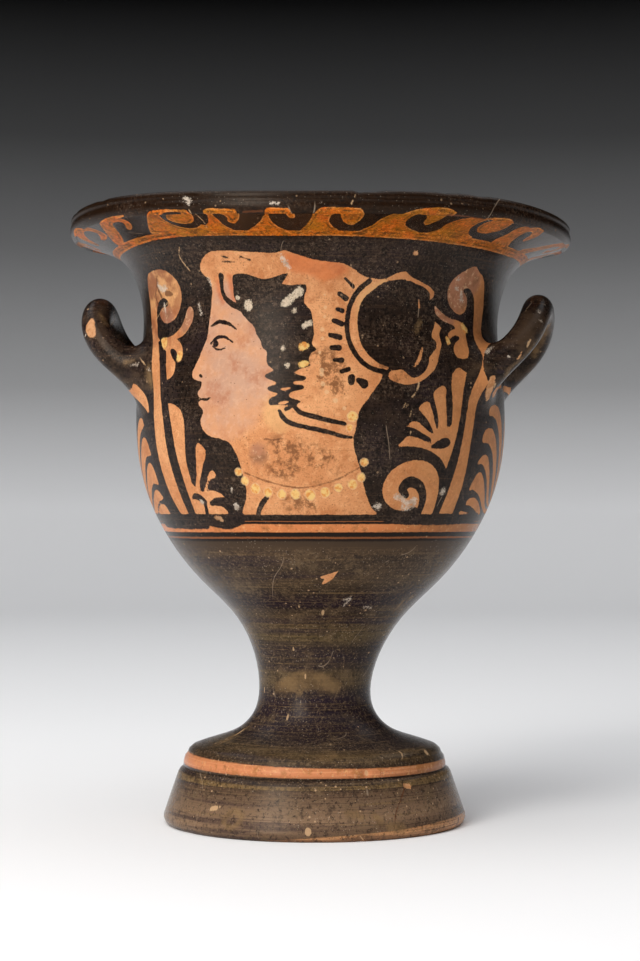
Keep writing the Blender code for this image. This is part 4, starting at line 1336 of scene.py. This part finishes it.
def wheel_marks():
    """Lines that the brush and the wheel left round the pot: fine streaks, broader ones and a slow sway in height."""
    tree, r, given, leave = shared_effect("wheel_marks", dict(Lines=1500, Broad=260), ["Streaks", "Smears", "Sway"])
    if r:
        fine = r.add("ShaderNodeCombineXYZ", {0: 13.0, 1: 13.0, 2: given["Lines"]}).outputs[0]
        broad = r.add("ShaderNodeCombineXYZ", {0: 10.0, 1: 10.0, 2: given["Broad"]}).outputs[0]
        r.feed(leave["Streaks"], r.noise(1.0, 3.0, 0.7, stretch=fine))
        r.feed(leave["Smears"], r.noise(1.0, 3.0, 0.6, stretch=broad, shift=(5, 5, 5)))
        r.feed(leave["Sway"], r.wobble(1.0, 2.0, 0.5, stretch=(15, 15, 40), shift=(3, 1, 7)))
    return tree


def hairlines():
    """Fine scratches: thin level lines of a slow noise, broken up by a second one."""
    tree, r, given, leave = shared_effect("hairlines", dict(Scale=26, Width=0.004), ["Scratches"])
    if r:
        level = r.calc("ABSOLUTE", r.wobble(given["Scale"], 1.5, 0.4, stretch=(1, 1, 0.45), shift=(9, 2, 4)))
        line = r.step(level, r.times(given["Width"], 0.3), given["Width"], 1.0, 0.0)
        r.feed(leave["Scratches"], r.times(line, r.patches(55, 0.56, 0.60, 1.0, 2.0, 0.5, shift=(1, 8, 8))))
    return tree


def new_finish(name):
    material = bpy.data.materials.new(name)
    material.use_nodes = True
    return material, Recipe(material.node_tree), material.node_tree.nodes["Principled BSDF"]


def fired(red, green, blue):
    """A fired colour from its everyday 0 to 255 values, as the shader's own linear one."""
    parts = (value / 255 for value in (red, green, blue))
    return tuple(v / 12.92 if v <= 0.04045 else ((v + 0.055) / 1.055) ** 2.4 for v in parts)


def tinted(colour, red, green, blue):
    """A colour with each of its parts scaled."""
    return tuple(part * scale for part, scale in zip(colour, (red, green, blue)))


# The banding below the picture, as (height, colour): the foot first, then the stem and the bowl's underside. The
# skirt's lighter middle, about 9 to 16 mm up, is partly the slip's own colour and partly a painted highlight.
FOOT_BANDS = (
    (0.0, (206, 150, 104)), (1.7, (196, 140, 94)), (2.3, (96, 74, 58)), (9.0, (134, 107, 84)), (16.0, (116, 92, 72)),
    (22.8, (88, 68, 52)), (23.4, (62, 48, 39)), (28.6, (52, 41, 34)), (29.0, (184, 114, 74)), (31.0, (202, 130, 88)),
    (33.4, (190, 120, 78)), (33.9, (54, 40, 28)), (36.0, (66, 51, 35)), (39.5, (84, 67, 45)), (42.0, (52, 42, 38)),
    (46.0, (42, 33, 34)),
)
STEM_BANDS = (
    (46.0, (42, 33, 34)), (52.0, (38, 29, 34)), (62.0, (42, 32, 38)), (66.5, (50, 40, 38)), (69.0, (88, 71, 48)),
    (74.0, (84, 68, 46)), (77.5, (58, 47, 39)), (86.0, (42, 33, 36)), (89.5, (62, 50, 40)), (94.0, (86, 71, 46)),
    (100.5, (80, 64, 43)), (103.0, (48, 36, 36)), (105.0, (74, 59, 42)), (108.0, (70, 56, 43)), (111.0, (36, 27, 33)),
    (115.5, (40, 30, 34)), (118.5, (62, 50, 38)), (124.0, (72, 57, 43)), (128.0, (58, 46, 36)), (133.0, (76, 59, 43)),
    (140.0, (64, 50, 38)),
)
UNDER_PICTURE_BANDS = (
    (140.0, (64, 50, 38)), (140.8, (30, 22, 18)), (141.5, (30, 22, 18)), (141.8, (128, 76, 44)), (142.3, (128, 76, 44)),
    (142.7, (26, 20, 17)), (144.5, (26, 20, 17)), (144.9, (200, 122, 72)), (148.2, (204, 126, 76)),
    (148.6, (26, 20, 17)), (149.4, (26, 20, 17)), (149.6, (150, 90, 52)), (150.0, (26, 20, 17)),
)
EDGE_OF_PICTURE = 150.1
LIP_ZONE = (274.0, 282.0)  # Where the slip turns to the lip's brown.


def banding(r, height, bands):
    low, high = bands[0][0], bands[-1][0]
    stops = [((where - low) / (high - low), fired(*colour)) for where, colour in bands]
    return r.ramp(r.calc("DIVIDE", r.calc("SUBTRACT", height, low), high - low), stops)


def slip_below(r, rise, lines, coarse, grain):
    """The thin brown slip and the bands under the picture, with painted shade on the stripes' right side and a painted
    highlight in the skirt's colour.
    """
    aside, across = r.add("ShaderNodeSeparateXYZ", {0: r.place()}).outputs[:2]
    true_bands = r.step(rise, 134.0, 139.0)
    loose = r.times(r.step(rise, 44.0, 60.0), r.off(true_bands))
    rough = r.plus(r.times(coarse, 0.5), r.times(grain, 0.35))
    tilt = r.times(aside, r.calc("SUBTRACT", r.times(rise, 3.0), 75.0), r.step(rise, 40.0, 50.0, 1.0, 0.0))
    sway = r.times(lines["Sway"], r.plus(r.times(loose, 17.0), 1.0))
    height = r.plus(rise, rough, tilt, sway, r.times(loose, r.calc("SUBTRACT", lines["Smears"], 0.5), 6.0))
    colour = r.layered(
        banding(r, height, FOOT_BANDS), (r.step(height, 45.8, 46.2), banding(r, height, STEM_BANDS)),
        (r.step(height, 139.9, 140.1), banding(r, height, UNDER_PICTURE_BANDS)),
    )
    ledge_top = r.plus(25.3, r.times(r.calc("ADD", across, 0.066), 38.0), r.times(aside, 10.0))
    ledge = r.times(r.step(height, 23.3, 23.7), r.step(r.calc("SUBTRACT", height, ledge_top), -0.5, 0.4, 1.0, 0.0))
    ledge_clay = r.mix(r.patches(500, 0.4, 0.65), fired(126, 100, 64), fired(84, 66, 44))
    colour = r.mix(r.times(ledge, 0.9), colour, ledge_clay)
    band = r.times(r.step(height, 28.7, 29.1), r.step(height, 33.4, 33.9, 1.0, 0.0))
    slipped = r.off(r.calc("MAXIMUM", true_bands, band))
    stripe = r.plus(band, r.times(r.step(height, 144.7, 145.0), r.step(height, 148.2, 148.5, 1.0, 0.0)))
    # Painted shade: the stripes are darker on the right side, away from the key light.
    right_side_shade = r.step(aside, 0.03, 0.07)
    fine = r.calc("SUBTRACT", lines["Streaks"], 0.5)
    pale_lines, dark_lines = r.step(fine, 0.04, 0.20), r.step(fine, -0.03, -0.20)
    return r.layered(
        colour,
        (r.times(pale_lines, slipped, 0.65), fired(120, 96, 64)),
        (r.times(dark_lines, slipped, 0.75), fired(28, 22, 22)),
        (r.times(r.step(lines["Smears"], 0.52, 0.64), slipped, 0.60), fired(36, 27, 38)),
        (r.times(r.patches(75, 0.52, 0.70, 0.50, shift=(2, 9, 4)), slipped), fired(110, 90, 66)),
        (r.times(r.patches(240, 0.54, 0.68, 0.60, shift=(5, 5, 1)), slipped), fired(32, 26, 27)),
        (r.times(r.patches(820, 0.50, 0.66, 0.75, 4.0, 0.8, shift=(5, 2, 2)), slipped), fired(118, 96, 72)),
        (r.times(r.patches(640, 0.52, 0.64, 0.75, 4.0, 0.8, shift=(8, 2, 2)), slipped), fired(30, 24, 24)),
        (r.times(r.step(lines["Streaks"], 0.52, 0.62), band, 0.4), fired(232, 168, 122)),
        (r.times(right_side_shade, stripe, 0.8), fired(146, 96, 54)),
        (r.times(stripe, r.patches(130, 0.50, 0.64, 0.75, shift=(6, 4, 4))), fired(158, 102, 58)),
        (r.times(stripe, r.patches(360, 0.56, 0.68, 0.6, 4.0, 0.75, shift=(6, 8, 4))), fired(116, 74, 46)),
        (r.times(stripe, r.patches(430, 0.54, 0.68, 0.5, 4.0, 0.75, shift=(2, 8, 2))), fired(230, 180, 120)),
    ), height


def slip_ground(r, slip, rise, lines):
    """The glossy slip round the picture: brown on the lip, violet in places, rubbed and dusty."""
    brown, violet = tinted(slip, 1.2, 0.8, 0.45), tinted(slip, 1.5, 1.6, 2.3)
    lip = r.step(rise, *LIP_ZONE)
    below = r.step(rise, *LIP_ZONE, 1.0, 0.5)
    streaky = r.noise(1.0, 4.0, 0.65, stretch=(22, 22, 75), shift=(4, 4, 8))
    gathered = r.plus(r.step(streaky, 0.44, 0.64, 0.15, 1.0), r.step(rise, 245.0, 272.0, 0.0, 0.3))
    return r.layered(
        slip,
        (r.patches(24, 0.45, 0.70, shift=(8, 3, 1)), violet),
        (r.times(lip, 0.9), brown),
        (r.times(below, r.patches(60, 0.50, 0.74, 0.50, shift=(1, 3, 8))), fired(60, 46, 36)),
        (r.times(r.step(lines["Streaks"], 0.52, 0.70), below, 0.40), fired(92, 68, 48)),
        (r.times(gathered, below, r.patches(330, 0.50, 0.66, 0.80, 4.0, 0.7, shift=(6, 3, 8))), fired(76, 60, 48)),
        (r.patches(300, 0.52, 0.66, 0.85, shift=(3, 3, 8)), fired(16, 12, 11)),
        (r.times(below, gathered, r.patches(820, 0.48, 0.68, 0.85, 4.0, 0.8, shift=(2, 8, 1))), fired(102, 83, 68)),
        (r.patches(640, 0.50, 0.62, 0.85, 4.0, 0.8, shift=(9, 8, 4)), fired(14, 11, 10)),
        (r.times(lip, r.step(streaky, 0.40, 0.58, 0.55, 0.15)), fired(30, 18, 9)),
    )


def reserved_clay(r, clay, skin, rise, lines, mask):
    """Clay left bare: mottled, worn pale over the face with some painted sheen, darker and browner towards the left
    edge up high, darkened on the right as painted shade, and washed with ochre on the lip, itself darker on the right
    as painted shade.
    """
    light, deep = tinted(clay, 1.22, 1.42, 1.60), tinted(clay, 0.78, 0.66, 0.58)
    lip = r.step(rise, 275.0, 279.0)
    aside = r.add("ShaderNodeSeparateXYZ", {0: r.place()}).outputs[0]
    edge = r.coat("clay")
    # Darker, browner clay towards the left edge, between about 226 and 242 mm up.
    darker_towards_left = r.times(r.step(aside, -0.050, -0.066), r.step(rise, 226.0, 242.0))

    def between(*stops):
        """A line that follows the drawing's edge, between two depths inside it."""
        return r.times(r.step(edge, *stops[:2]), r.step(edge, *stops[2:], 1.0, 0.0))

    ochre = r.layered(
        fired(196, 98, 16), (r.patches(34, 0.42, 0.62, 0.9, shift=(6, 1, 1)), fired(166, 106, 20)),
        (r.patches(48, 0.52, 0.66, 0.85, shift=(2, 7, 1)), fired(214, 92, 24)),
        # Painted shade: the lip's ochre darkened towards the right side, away from the key light.
        (r.times(r.step(aside, -0.01, 0.09), 0.5), fired(116, 68, 18)),
        (r.patches(130, 0.50, 0.70, 0.7, shift=(2, 2, 1)), fired(96, 58, 22)),
        (r.times(r.step(lines["Streaks"], 0.52, 0.66), 0.25), fired(206, 122, 52)),
        (r.times(r.step(lines["Streaks"], 0.46, 0.34), 0.35), fired(62, 38, 20)),
        (r.patches(260, 0.50, 0.60, 0.8, 4.0, 0.7, stretch=(1, 1, 2.2), shift=(7, 8, 6)), fired(120, 74, 18)),
        (r.patches(300, 0.54, 0.62, 0.8, 4.0, 0.7, stretch=(1, 1, 2.2), shift=(1, 8, 9)), fired(204, 104, 34)),
        (r.times(between(0.9, 1.3, 1.7, 2.2), r.patches(150, 0.46, 0.56, shift=(1, 2, 9))), fired(96, 56, 18)),
        (r.times(between(-0.1, 0.1, 0.4, 0.7), r.patches(130, 0.46, 0.56, 0.5, shift=(5, 2, 9))), fired(222, 150, 84)),
        (r.patches(900, 0.50, 0.63, 0.8, 4.0, 0.75, shift=(2, 8, 6)), fired(74, 42, 14)),
        (r.patches(700, 0.53, 0.66, 0.7, 4.0, 0.75, shift=(8, 8, 6)), fired(226, 140, 62)),
    )
    # The face's pale wash; its lighter patches are partly a painted sheen.
    skin_wear_and_sheen = r.layered(
        skin, (r.patches(50, 0.38, 0.66, shift=(4, 4, 9)), fired(200, 144, 106)),
        (r.patches(90, 0.48, 0.68, 0.65, shift=(4, 1, 9)), fired(158, 94, 68)),
        (r.patches(420, 0.50, 0.68, 0.35, shift=(4, 1, 2)), fired(214, 176, 148)),
    )
    # Painted shade: a darker clay laid over the pot's right side, away from the key light.
    turned = r.layered(
        fired(184, 122, 72), (r.patches(120, 0.44, 0.68, 0.8, shift=(3, 1, 7)), fired(156, 100, 58)),
        (r.patches(520, 0.50, 0.66, 0.6, shift=(6, 1, 7)), fired(212, 142, 88)),
    )
    tarnished = r.layered(
        fired(156, 106, 82), (r.patches(150, 0.46, 0.62, 0.8, shift=(2, 6, 7)), fired(122, 84, 60)),
        (r.patches(420, 0.54, 0.66, 0.7, shift=(2, 1, 3)), fired(206, 168, 132)),
    )
    return r.layered(
        clay,
        (r.patches(42, 0.36, 0.66, 0.85, shift=(1, 6, 2)), light),
        (r.patches(95, 0.48, 0.70, 0.70, shift=(7, 6, 2)), deep),
        (r.patches(340, 0.50, 0.70, 0.45, 5.0, 0.7, shift=(7, 1, 2)), fired(234, 180, 128)),
        (r.patches(520, 0.54, 0.70, 0.60, 5.0, 0.75, shift=(3, 1, 5)), fired(140, 88, 54)),
        (r.patches(1300, 0.53, 0.66, 0.50, 3.0, 0.75, shift=(3, 7, 7)), fired(128, 78, 46)),
        (r.times(r.step(lines["Streaks"], 0.58, 0.72), 0.30), fired(150, 92, 56)),
        # Painted shade on the right side of the clay.
        (r.times(r.step(aside, 0.015, 0.075), 0.75), turned),
        # Pale patches of wear; the one at the front of the neck is also a painted highlight.
        (r.times(mask("bleach", 2.0, 4.0), 0.5), fired(216, 168, 112)),
        (r.times(darker_towards_left, r.patches(110, 0.40, 0.60, 0.8, shift=(2, 2, 6))), fired(134, 76, 50)),
        (r.times(mask("tarnish", 2.0, 4.0), 0.8), tarnished),
        # The face's wash, partly a painted sheen.
        (r.times(mask("skin", 3.0, 4.0), 0.8), skin_wear_and_sheen),
        (r.times(mask("stain", 2.5), r.patches(210, 0.46, 0.60, 0.85, 5.0, 0.75, shift=(3, 5, 5))), fired(112, 70, 42)),
        (
            r.times(mask("wash", 1.6, 2.0), 0.75),
            r.mix(r.patches(120, 0.4, 0.7), fired(204, 116, 66), fired(170, 88, 50)),
        ),
        (lip, ochre),
    )


def painted_slip(colours):
    """The outside: red-figure painting above, thin brown slip and bands below, all a little worn, with some painted
    shade, highlights and sheen in the colour.
    """
    material, r, shader = new_finish("painted_slip")
    slip, clay, skin, white, gold = (
        tuple(colour)[:3] for colour in (colours.slip, colours.clay, colours.skin, colours.white, colours.gold)
    )
    coarse, grain = r.wobble(420, 3, 0.6), r.wobble(2400, 2, 0.6)
    ragged = r.plus(r.times(coarse, 0.9), r.times(grain, 0.5))
    rise, rods = r.coat("rise"), r.coat("rods")
    lines = r.group(wheel_marks(), Lines=1500.0, Broad=230.0)

    crumbs = r.wobble(1100, 4, 0.8, shift=(4, 4, 4))

    def mask(coat, soft=0.16, rough=1.0, crumbly=0.0):
        depth = r.plus(r.coat(coat), r.times(ragged, rough))
        return r.step(r.plus(depth, r.times(crumbs, crumbly)) if crumbly else depth, -soft, soft)

    under, height = slip_below(r, rise, lines, coarse, grain)
    ground = slip_ground(r, slip, rise, lines)
    # Olive and violet streaks on the handles: partly slip colour, partly a painted sheen.
    rod_streak_and_sheen = r.noise(60, 4, 0.6, stretch=(1, 1, 2.0), shift=(6, 2, 6))
    ground = r.layered(
        ground, (r.times(rods, r.step(rod_streak_and_sheen, 0.46, 0.66), 0.7), fired(74, 58, 44)),
        (r.times(rods, r.step(rod_streak_and_sheen, 0.44, 0.32), 0.6), fired(48, 38, 44)),
    )
    base = r.mix(r.step(height, EDGE_OF_PICTURE - 0.3, EDGE_OF_PICTURE + 0.3), under, ground)
    inked = mask("black", 0.25, 1.4)
    reserved = r.times(r.calc("MAXIMUM", mask("clay"), mask("chips", 0.3, 1.6, 2.0)), r.off(inked))
    bare = reserved_clay(r, clay, skin, rise, lines, mask)
    rubbed = r.times(mask("worn", 1.5, 3.0, 5.0), 0.6)
    chalky = mask("chalk", 0.35, 1.6, 6.0)
    white_shade = r.layered(
        white, (r.patches(700, 0.45, 0.65, 0.7), tuple(c * 0.55 for c in white)),
        (r.patches(1500, 0.54, 0.64, 0.7, 3.0, 0.7, shift=(1, 1, 3)), fired(96, 78, 62)),
    )
    flaked = r.times(mask("chips", 0.3, 1.6, 2.0), 0.65)
    colour = r.layered(
        base,
        (inked, ground),
        (reserved, bare),
        (flaked, r.mix(r.patches(400, 0.4, 0.65), fired(204, 158, 116), fired(166, 116, 74))),
        (rubbed, r.mix(r.patches(160, 0.4, 0.65), fired(134, 106, 72), fired(96, 74, 50))),
        (r.times(mask("brown", 0.3, 1.2), 0.8), fired(92, 52, 30)),
        (r.times(mask("pale", 0.2, 1.4), 0.6), fired(214, 174, 130)),
        (r.times(mask("white", 0.3, 1.4, 3.5), 0.92), white_shade),
        (r.times(mask("gold", 0.3, 1.4, 2.0), 0.9), r.mix(r.patches(500, 0.45, 0.62), gold, fired(206, 132, 62))),
        (r.times(chalky, 0.8), r.mix(r.patches(260, 0.4, 0.65), fired(206, 190, 172), fired(158, 140, 122))),
    )

    # Dust, flaked specks, pores and scratches.
    dark_ground = r.off(reserved)
    low_down = r.step(rise, 128.0, 152.0, 1.0, 0.45)
    flakes = r.group(dust(), Scatter=430.0, Size=0.24, Share=0.10, Clusters=26.0)[0]
    powder = r.group(dust(), Scatter=1150.0, Size=0.30, Share=0.16, Clusters=34.0)[0]
    pores = r.group(dust(), Scatter=640.0, Size=0.22, Share=0.12, Clusters=48.0)[0]
    scratches = r.group(hairlines(), Scale=26.0, Width=0.0035)[0]
    colour = r.layered(
        colour,
        (r.times(powder, low_down, dark_ground, 0.55), fired(176, 158, 138)),
        (r.times(flakes, low_down, dark_ground, 0.80), fired(184, 150, 116)),
        (r.times(pores, reserved, 0.70), fired(84, 54, 36)),
        (r.times(scratches, dark_ground, 0.50), fired(160, 138, 116)),
    )
    r.feed(shader.inputs["Base Color"], colour)
    matt = r.plus(r.mix(reserved, (0.19,) * 3, (0.38,) * 3), r.times(coarse, 0.18), r.times(grain, 0.12))
    r.feed(shader.inputs["Roughness"], r.plus(matt, r.times(rubbed, 0.12), r.times(chalky, 0.3)))
    relief = r.plus(r.times(lines["Streaks"], 0.12), r.times(grain, 0.20), r.times(coarse, 0.16))
    bump = r.add("ShaderNodeBump", {"Height": relief, "Strength": 0.6, "Distance": 0.0006})
    r.feed(shader.inputs["Normal"], bump.outputs[0])
    shader.inputs["Specular IOR Level"].default_value = 0.11
    shader.inputs["Specular Tint"].default_value = (1.0, 0.88, 0.74, 1.0)
    return material


def bowl_slip(colours):
    """The inside of the bowl: black slip with wheel marks."""
    material, r, shader = new_finish("bowl_slip")
    slip = tuple(colours.slip)[:3]
    lines = r.group(wheel_marks(), Lines=700.0, Broad=160.0)
    cloud = r.noise(26, 4, 0.6, shift=(2, 2, 5))
    specks = r.group(dust(), Scatter=500.0, Size=0.26, Share=0.14, Clusters=22.0)[0]
    colour = r.layered(
        slip, (r.step(cloud, 0.35, 0.70), tinted(slip, 2.2, 1.9, 1.7)),
        (r.times(r.step(lines["Streaks"], 0.50, 0.70), 0.4), fired(80, 60, 46)),
        (r.times(specks, 0.6), fired(166, 142, 118)),
    )
    r.feed(shader.inputs["Base Color"], colour)
    r.feed(shader.inputs["Roughness"], r.step(cloud, 0.3, 0.7, 0.36, 0.50))
    bump = r.add("ShaderNodeBump", {"Height": lines["Streaks"], "Strength": 0.4, "Distance": 0.0004})
    r.feed(shader.inputs["Normal"], bump.outputs[0])
    return material


def bare_clay(colours):
    """The hollow under the foot: clay that never had slip, with wheel marks and dirt."""
    material, r, shader = new_finish("bare_clay")
    clay = tuple(colours.clay)[:3]
    dirt = r.noise(55, 5, 0.65)
    lines = r.group(wheel_marks(), Lines=420.0, Broad=120.0)
    colour = r.layered(
        tuple(c * 0.9 for c in clay), (r.step(dirt, 0.35, 0.75), fired(120, 84, 58)),
        (r.times(r.step(lines["Streaks"], 0.45, 0.7), 0.3), fired(214, 160, 120)),
        (r.times(r.group(dust(), Scatter=380.0, Size=0.3, Share=0.2, Clusters=30.0)[0], 0.7), fired(70, 48, 34)),
    )
    r.feed(shader.inputs["Base Color"], colour)
    shader.inputs["Roughness"].default_value = 0.75
    relief = r.plus(lines["Streaks"], r.times(dirt, 0.5))
    bump = r.add("ShaderNodeBump", {"Height": relief, "Strength": 0.5, "Distance": 0.0006})
    r.feed(shader.inputs["Normal"], bump.outputs[0])
    return material


# ------------------------------------------------------------------------------------------- studio

VIEW_DISTANCE, VIEW_HEIGHT, VIEW_TURN = 1.075, 0.1523, math.radians(6.0)
LENS, LENS_SHIFT = 80.54, (-0.0005, 0.0369)
# Turn in degrees from the view's front, distance, height, (width, height) of the panel, power and colour.
KEY_LIGHT = (-27, 1.6, 0.84, (0.60, 1.5), 24.0, (1.0, 0.98, 0.96))
TOP_LIGHT = (-48, 1.1, 2.1, (1.6, 1.6), 11.0, (1.0, 0.99, 0.97))
SKY_COLOUR, SKY_STRENGTH = (0.96, 0.97, 1.0, 1.0), 0.92
COVE = ((0.0, 0.0), (2.4, 0.0), (3.0, 0.16), (3.4, 0.70), (3.55, 1.6), (3.55, 3.2))
# The paper's grey from the middle of the floor outwards and up the backdrop, as (way along it, 0 to 255 value); its
# darkening up the backdrop is painted shade.
PAPER_GREYS_WITH_SHADE = (
    (0.06, 255), (0.3, 255), (0.5, 255), (1.2, 255), (2.4, 255), (3.4, 253), (4.2, 178), (5.2, 118), (5.8, 73),
    (6.6, 18), (8.0, 7),
)
CLIMB = 2.5  # How much faster the ramp runs up the backdrop than along the floor.


def place_camera():
    data = bpy.data.cameras.new("view")
    data.lens, data.sensor_width = LENS, 36.0
    data.shift_x, data.shift_y = LENS_SHIFT
    camera = bpy.data.objects.new("view", data)
    camera.location = (
        VIEW_DISTANCE * math.sin(VIEW_TURN), -VIEW_DISTANCE * math.cos(VIEW_TURN), VIEW_HEIGHT,
    )
    camera.rotation_euler = (math.radians(90), 0, VIEW_TURN)
    bpy.context.scene.collection.objects.link(camera)
    bpy.context.scene.camera = camera


def softbox(name, turn, distance, height, size, power, colour):
    """A square light that faces the pot's middle."""
    data = bpy.data.lights.new(name, "AREA")
    data.shape, data.size, data.size_y = "RECTANGLE", *size
    data.energy, data.color = power, colour
    lamp = bpy.data.objects.new(name, data)
    angle = math.radians(turn)
    lamp.location = (distance * math.sin(angle), -distance * math.cos(angle), height)
    lamp.rotation_euler = (Vector((0, 0, 0.16)) - lamp.location).to_track_quat("-Z", "Y").to_euler()
    bpy.context.scene.collection.objects.link(lamp)


def pale_floor():
    """A round cove: a pale floor that curves up into a backdrop on every side, painted darker up the backdrop as
    painted shade.
    """
    shape = thrown([(radius, height) for radius, height in COVE], 96)
    for face in shape.faces:
        face.smooth = True
    if shape.faces[0].normal.z < 0:
        bmesh.ops.reverse_faces(shape, faces=shape.faces)
    floor = as_object("floor", shape)
    material, r, shader = new_finish("paper_with_painted_shade")
    away = r.add("ShaderNodeSeparateXYZ", {0: r.place()}).outputs
    out = r.calc("SQRT", r.plus(r.times(away[0], away[0]), r.times(away[1], away[1])))
    far = PAPER_GREYS_WITH_SHADE[-1][0]
    greys = [(way / far, fired(grey, grey, grey)) for way, grey in PAPER_GREYS_WITH_SHADE]
    # Painted shade: the paper darkens up the backdrop through its colour, not through the lights.
    paper_and_shade = r.ramp(r.calc("DIVIDE", r.plus(out, r.times(away[2], CLIMB)), far), greys)
    r.feed(shader.inputs["Base Color"], paper_and_shade)
    shader.inputs["Roughness"].default_value = 1.0
    shader.inputs["Specular IOR Level"].default_value = 0.0
    floor.data.materials.append(material)
    return floor


def set_world():
    world = bpy.data.worlds.new("studio")
    bpy.context.scene.world = world
    world.use_nodes = True
    background = world.node_tree.nodes["Background"]
    background.inputs["Color"].default_value = SKY_COLOUR
    background.inputs["Strength"].default_value = SKY_STRENGTH
    bpy.context.scene.view_settings.view_transform = "Standard"


class KRATER_OT_pot(bpy.types.Operator):
    """Throws, joins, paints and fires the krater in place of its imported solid"""

    bl_idname = "krater.pot"
    bl_label = "Bell krater"

    def execute(self, context):
        pot = make_pot(context.scene.krater_sizes, context.scene.krater_colours)
        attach(pot, "root")
        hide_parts(PIECE)
        return {"FINISHED"}


class KRATER_OT_studio(bpy.types.Operator):
    """Sets the pale floor, the soft lights and the camera"""

    bl_idname = "krater.studio"
    bl_label = "Studio"

    def execute(self, context):
        pale_floor()
        set_world()
        softbox("key_light", *KEY_LIGHT)
        softbox("top_light", *TOP_LIGHT)
        place_camera()
        return {"FINISHED"}


class KRATER_PT_panel(bpy.types.Panel):
    """The krater's pieces and sizes"""

    bl_idname = "KRATER_PT_panel"
    bl_label = "Bell Krater"
    bl_space_type = "VIEW_3D"
    bl_region_type = "UI"
    bl_category = "Krater"

    def draw(self, context):
        for step in STEPS:
            self.layout.operator(step)
        for group in (context.scene.krater_sizes, context.scene.krater_colours):
            for name in group.__annotations__:
                self.layout.prop(group, name)


CLASSES = (KraterSizes, KraterColours, KRATER_OT_pot, KRATER_OT_studio, KRATER_PT_panel)
STEPS = ("krater.pot", "krater.studio")


def register():
    for kind in CLASSES:
        bpy.utils.register_class(kind)
    bpy.types.Scene.krater_sizes = PointerProperty(type=KraterSizes)
    bpy.types.Scene.krater_colours = PointerProperty(type=KraterColours)


def unregister():
    del bpy.types.Scene.krater_colours
    del bpy.types.Scene.krater_sizes
    for kind in reversed(CLASSES):
        bpy.utils.unregister_class(kind)


def main():
    register()
    for step in STEPS:
        group, name = step.split(".")
        getattr(getattr(bpy.ops, group), name)()


if __name__ == "__main__":
    main()
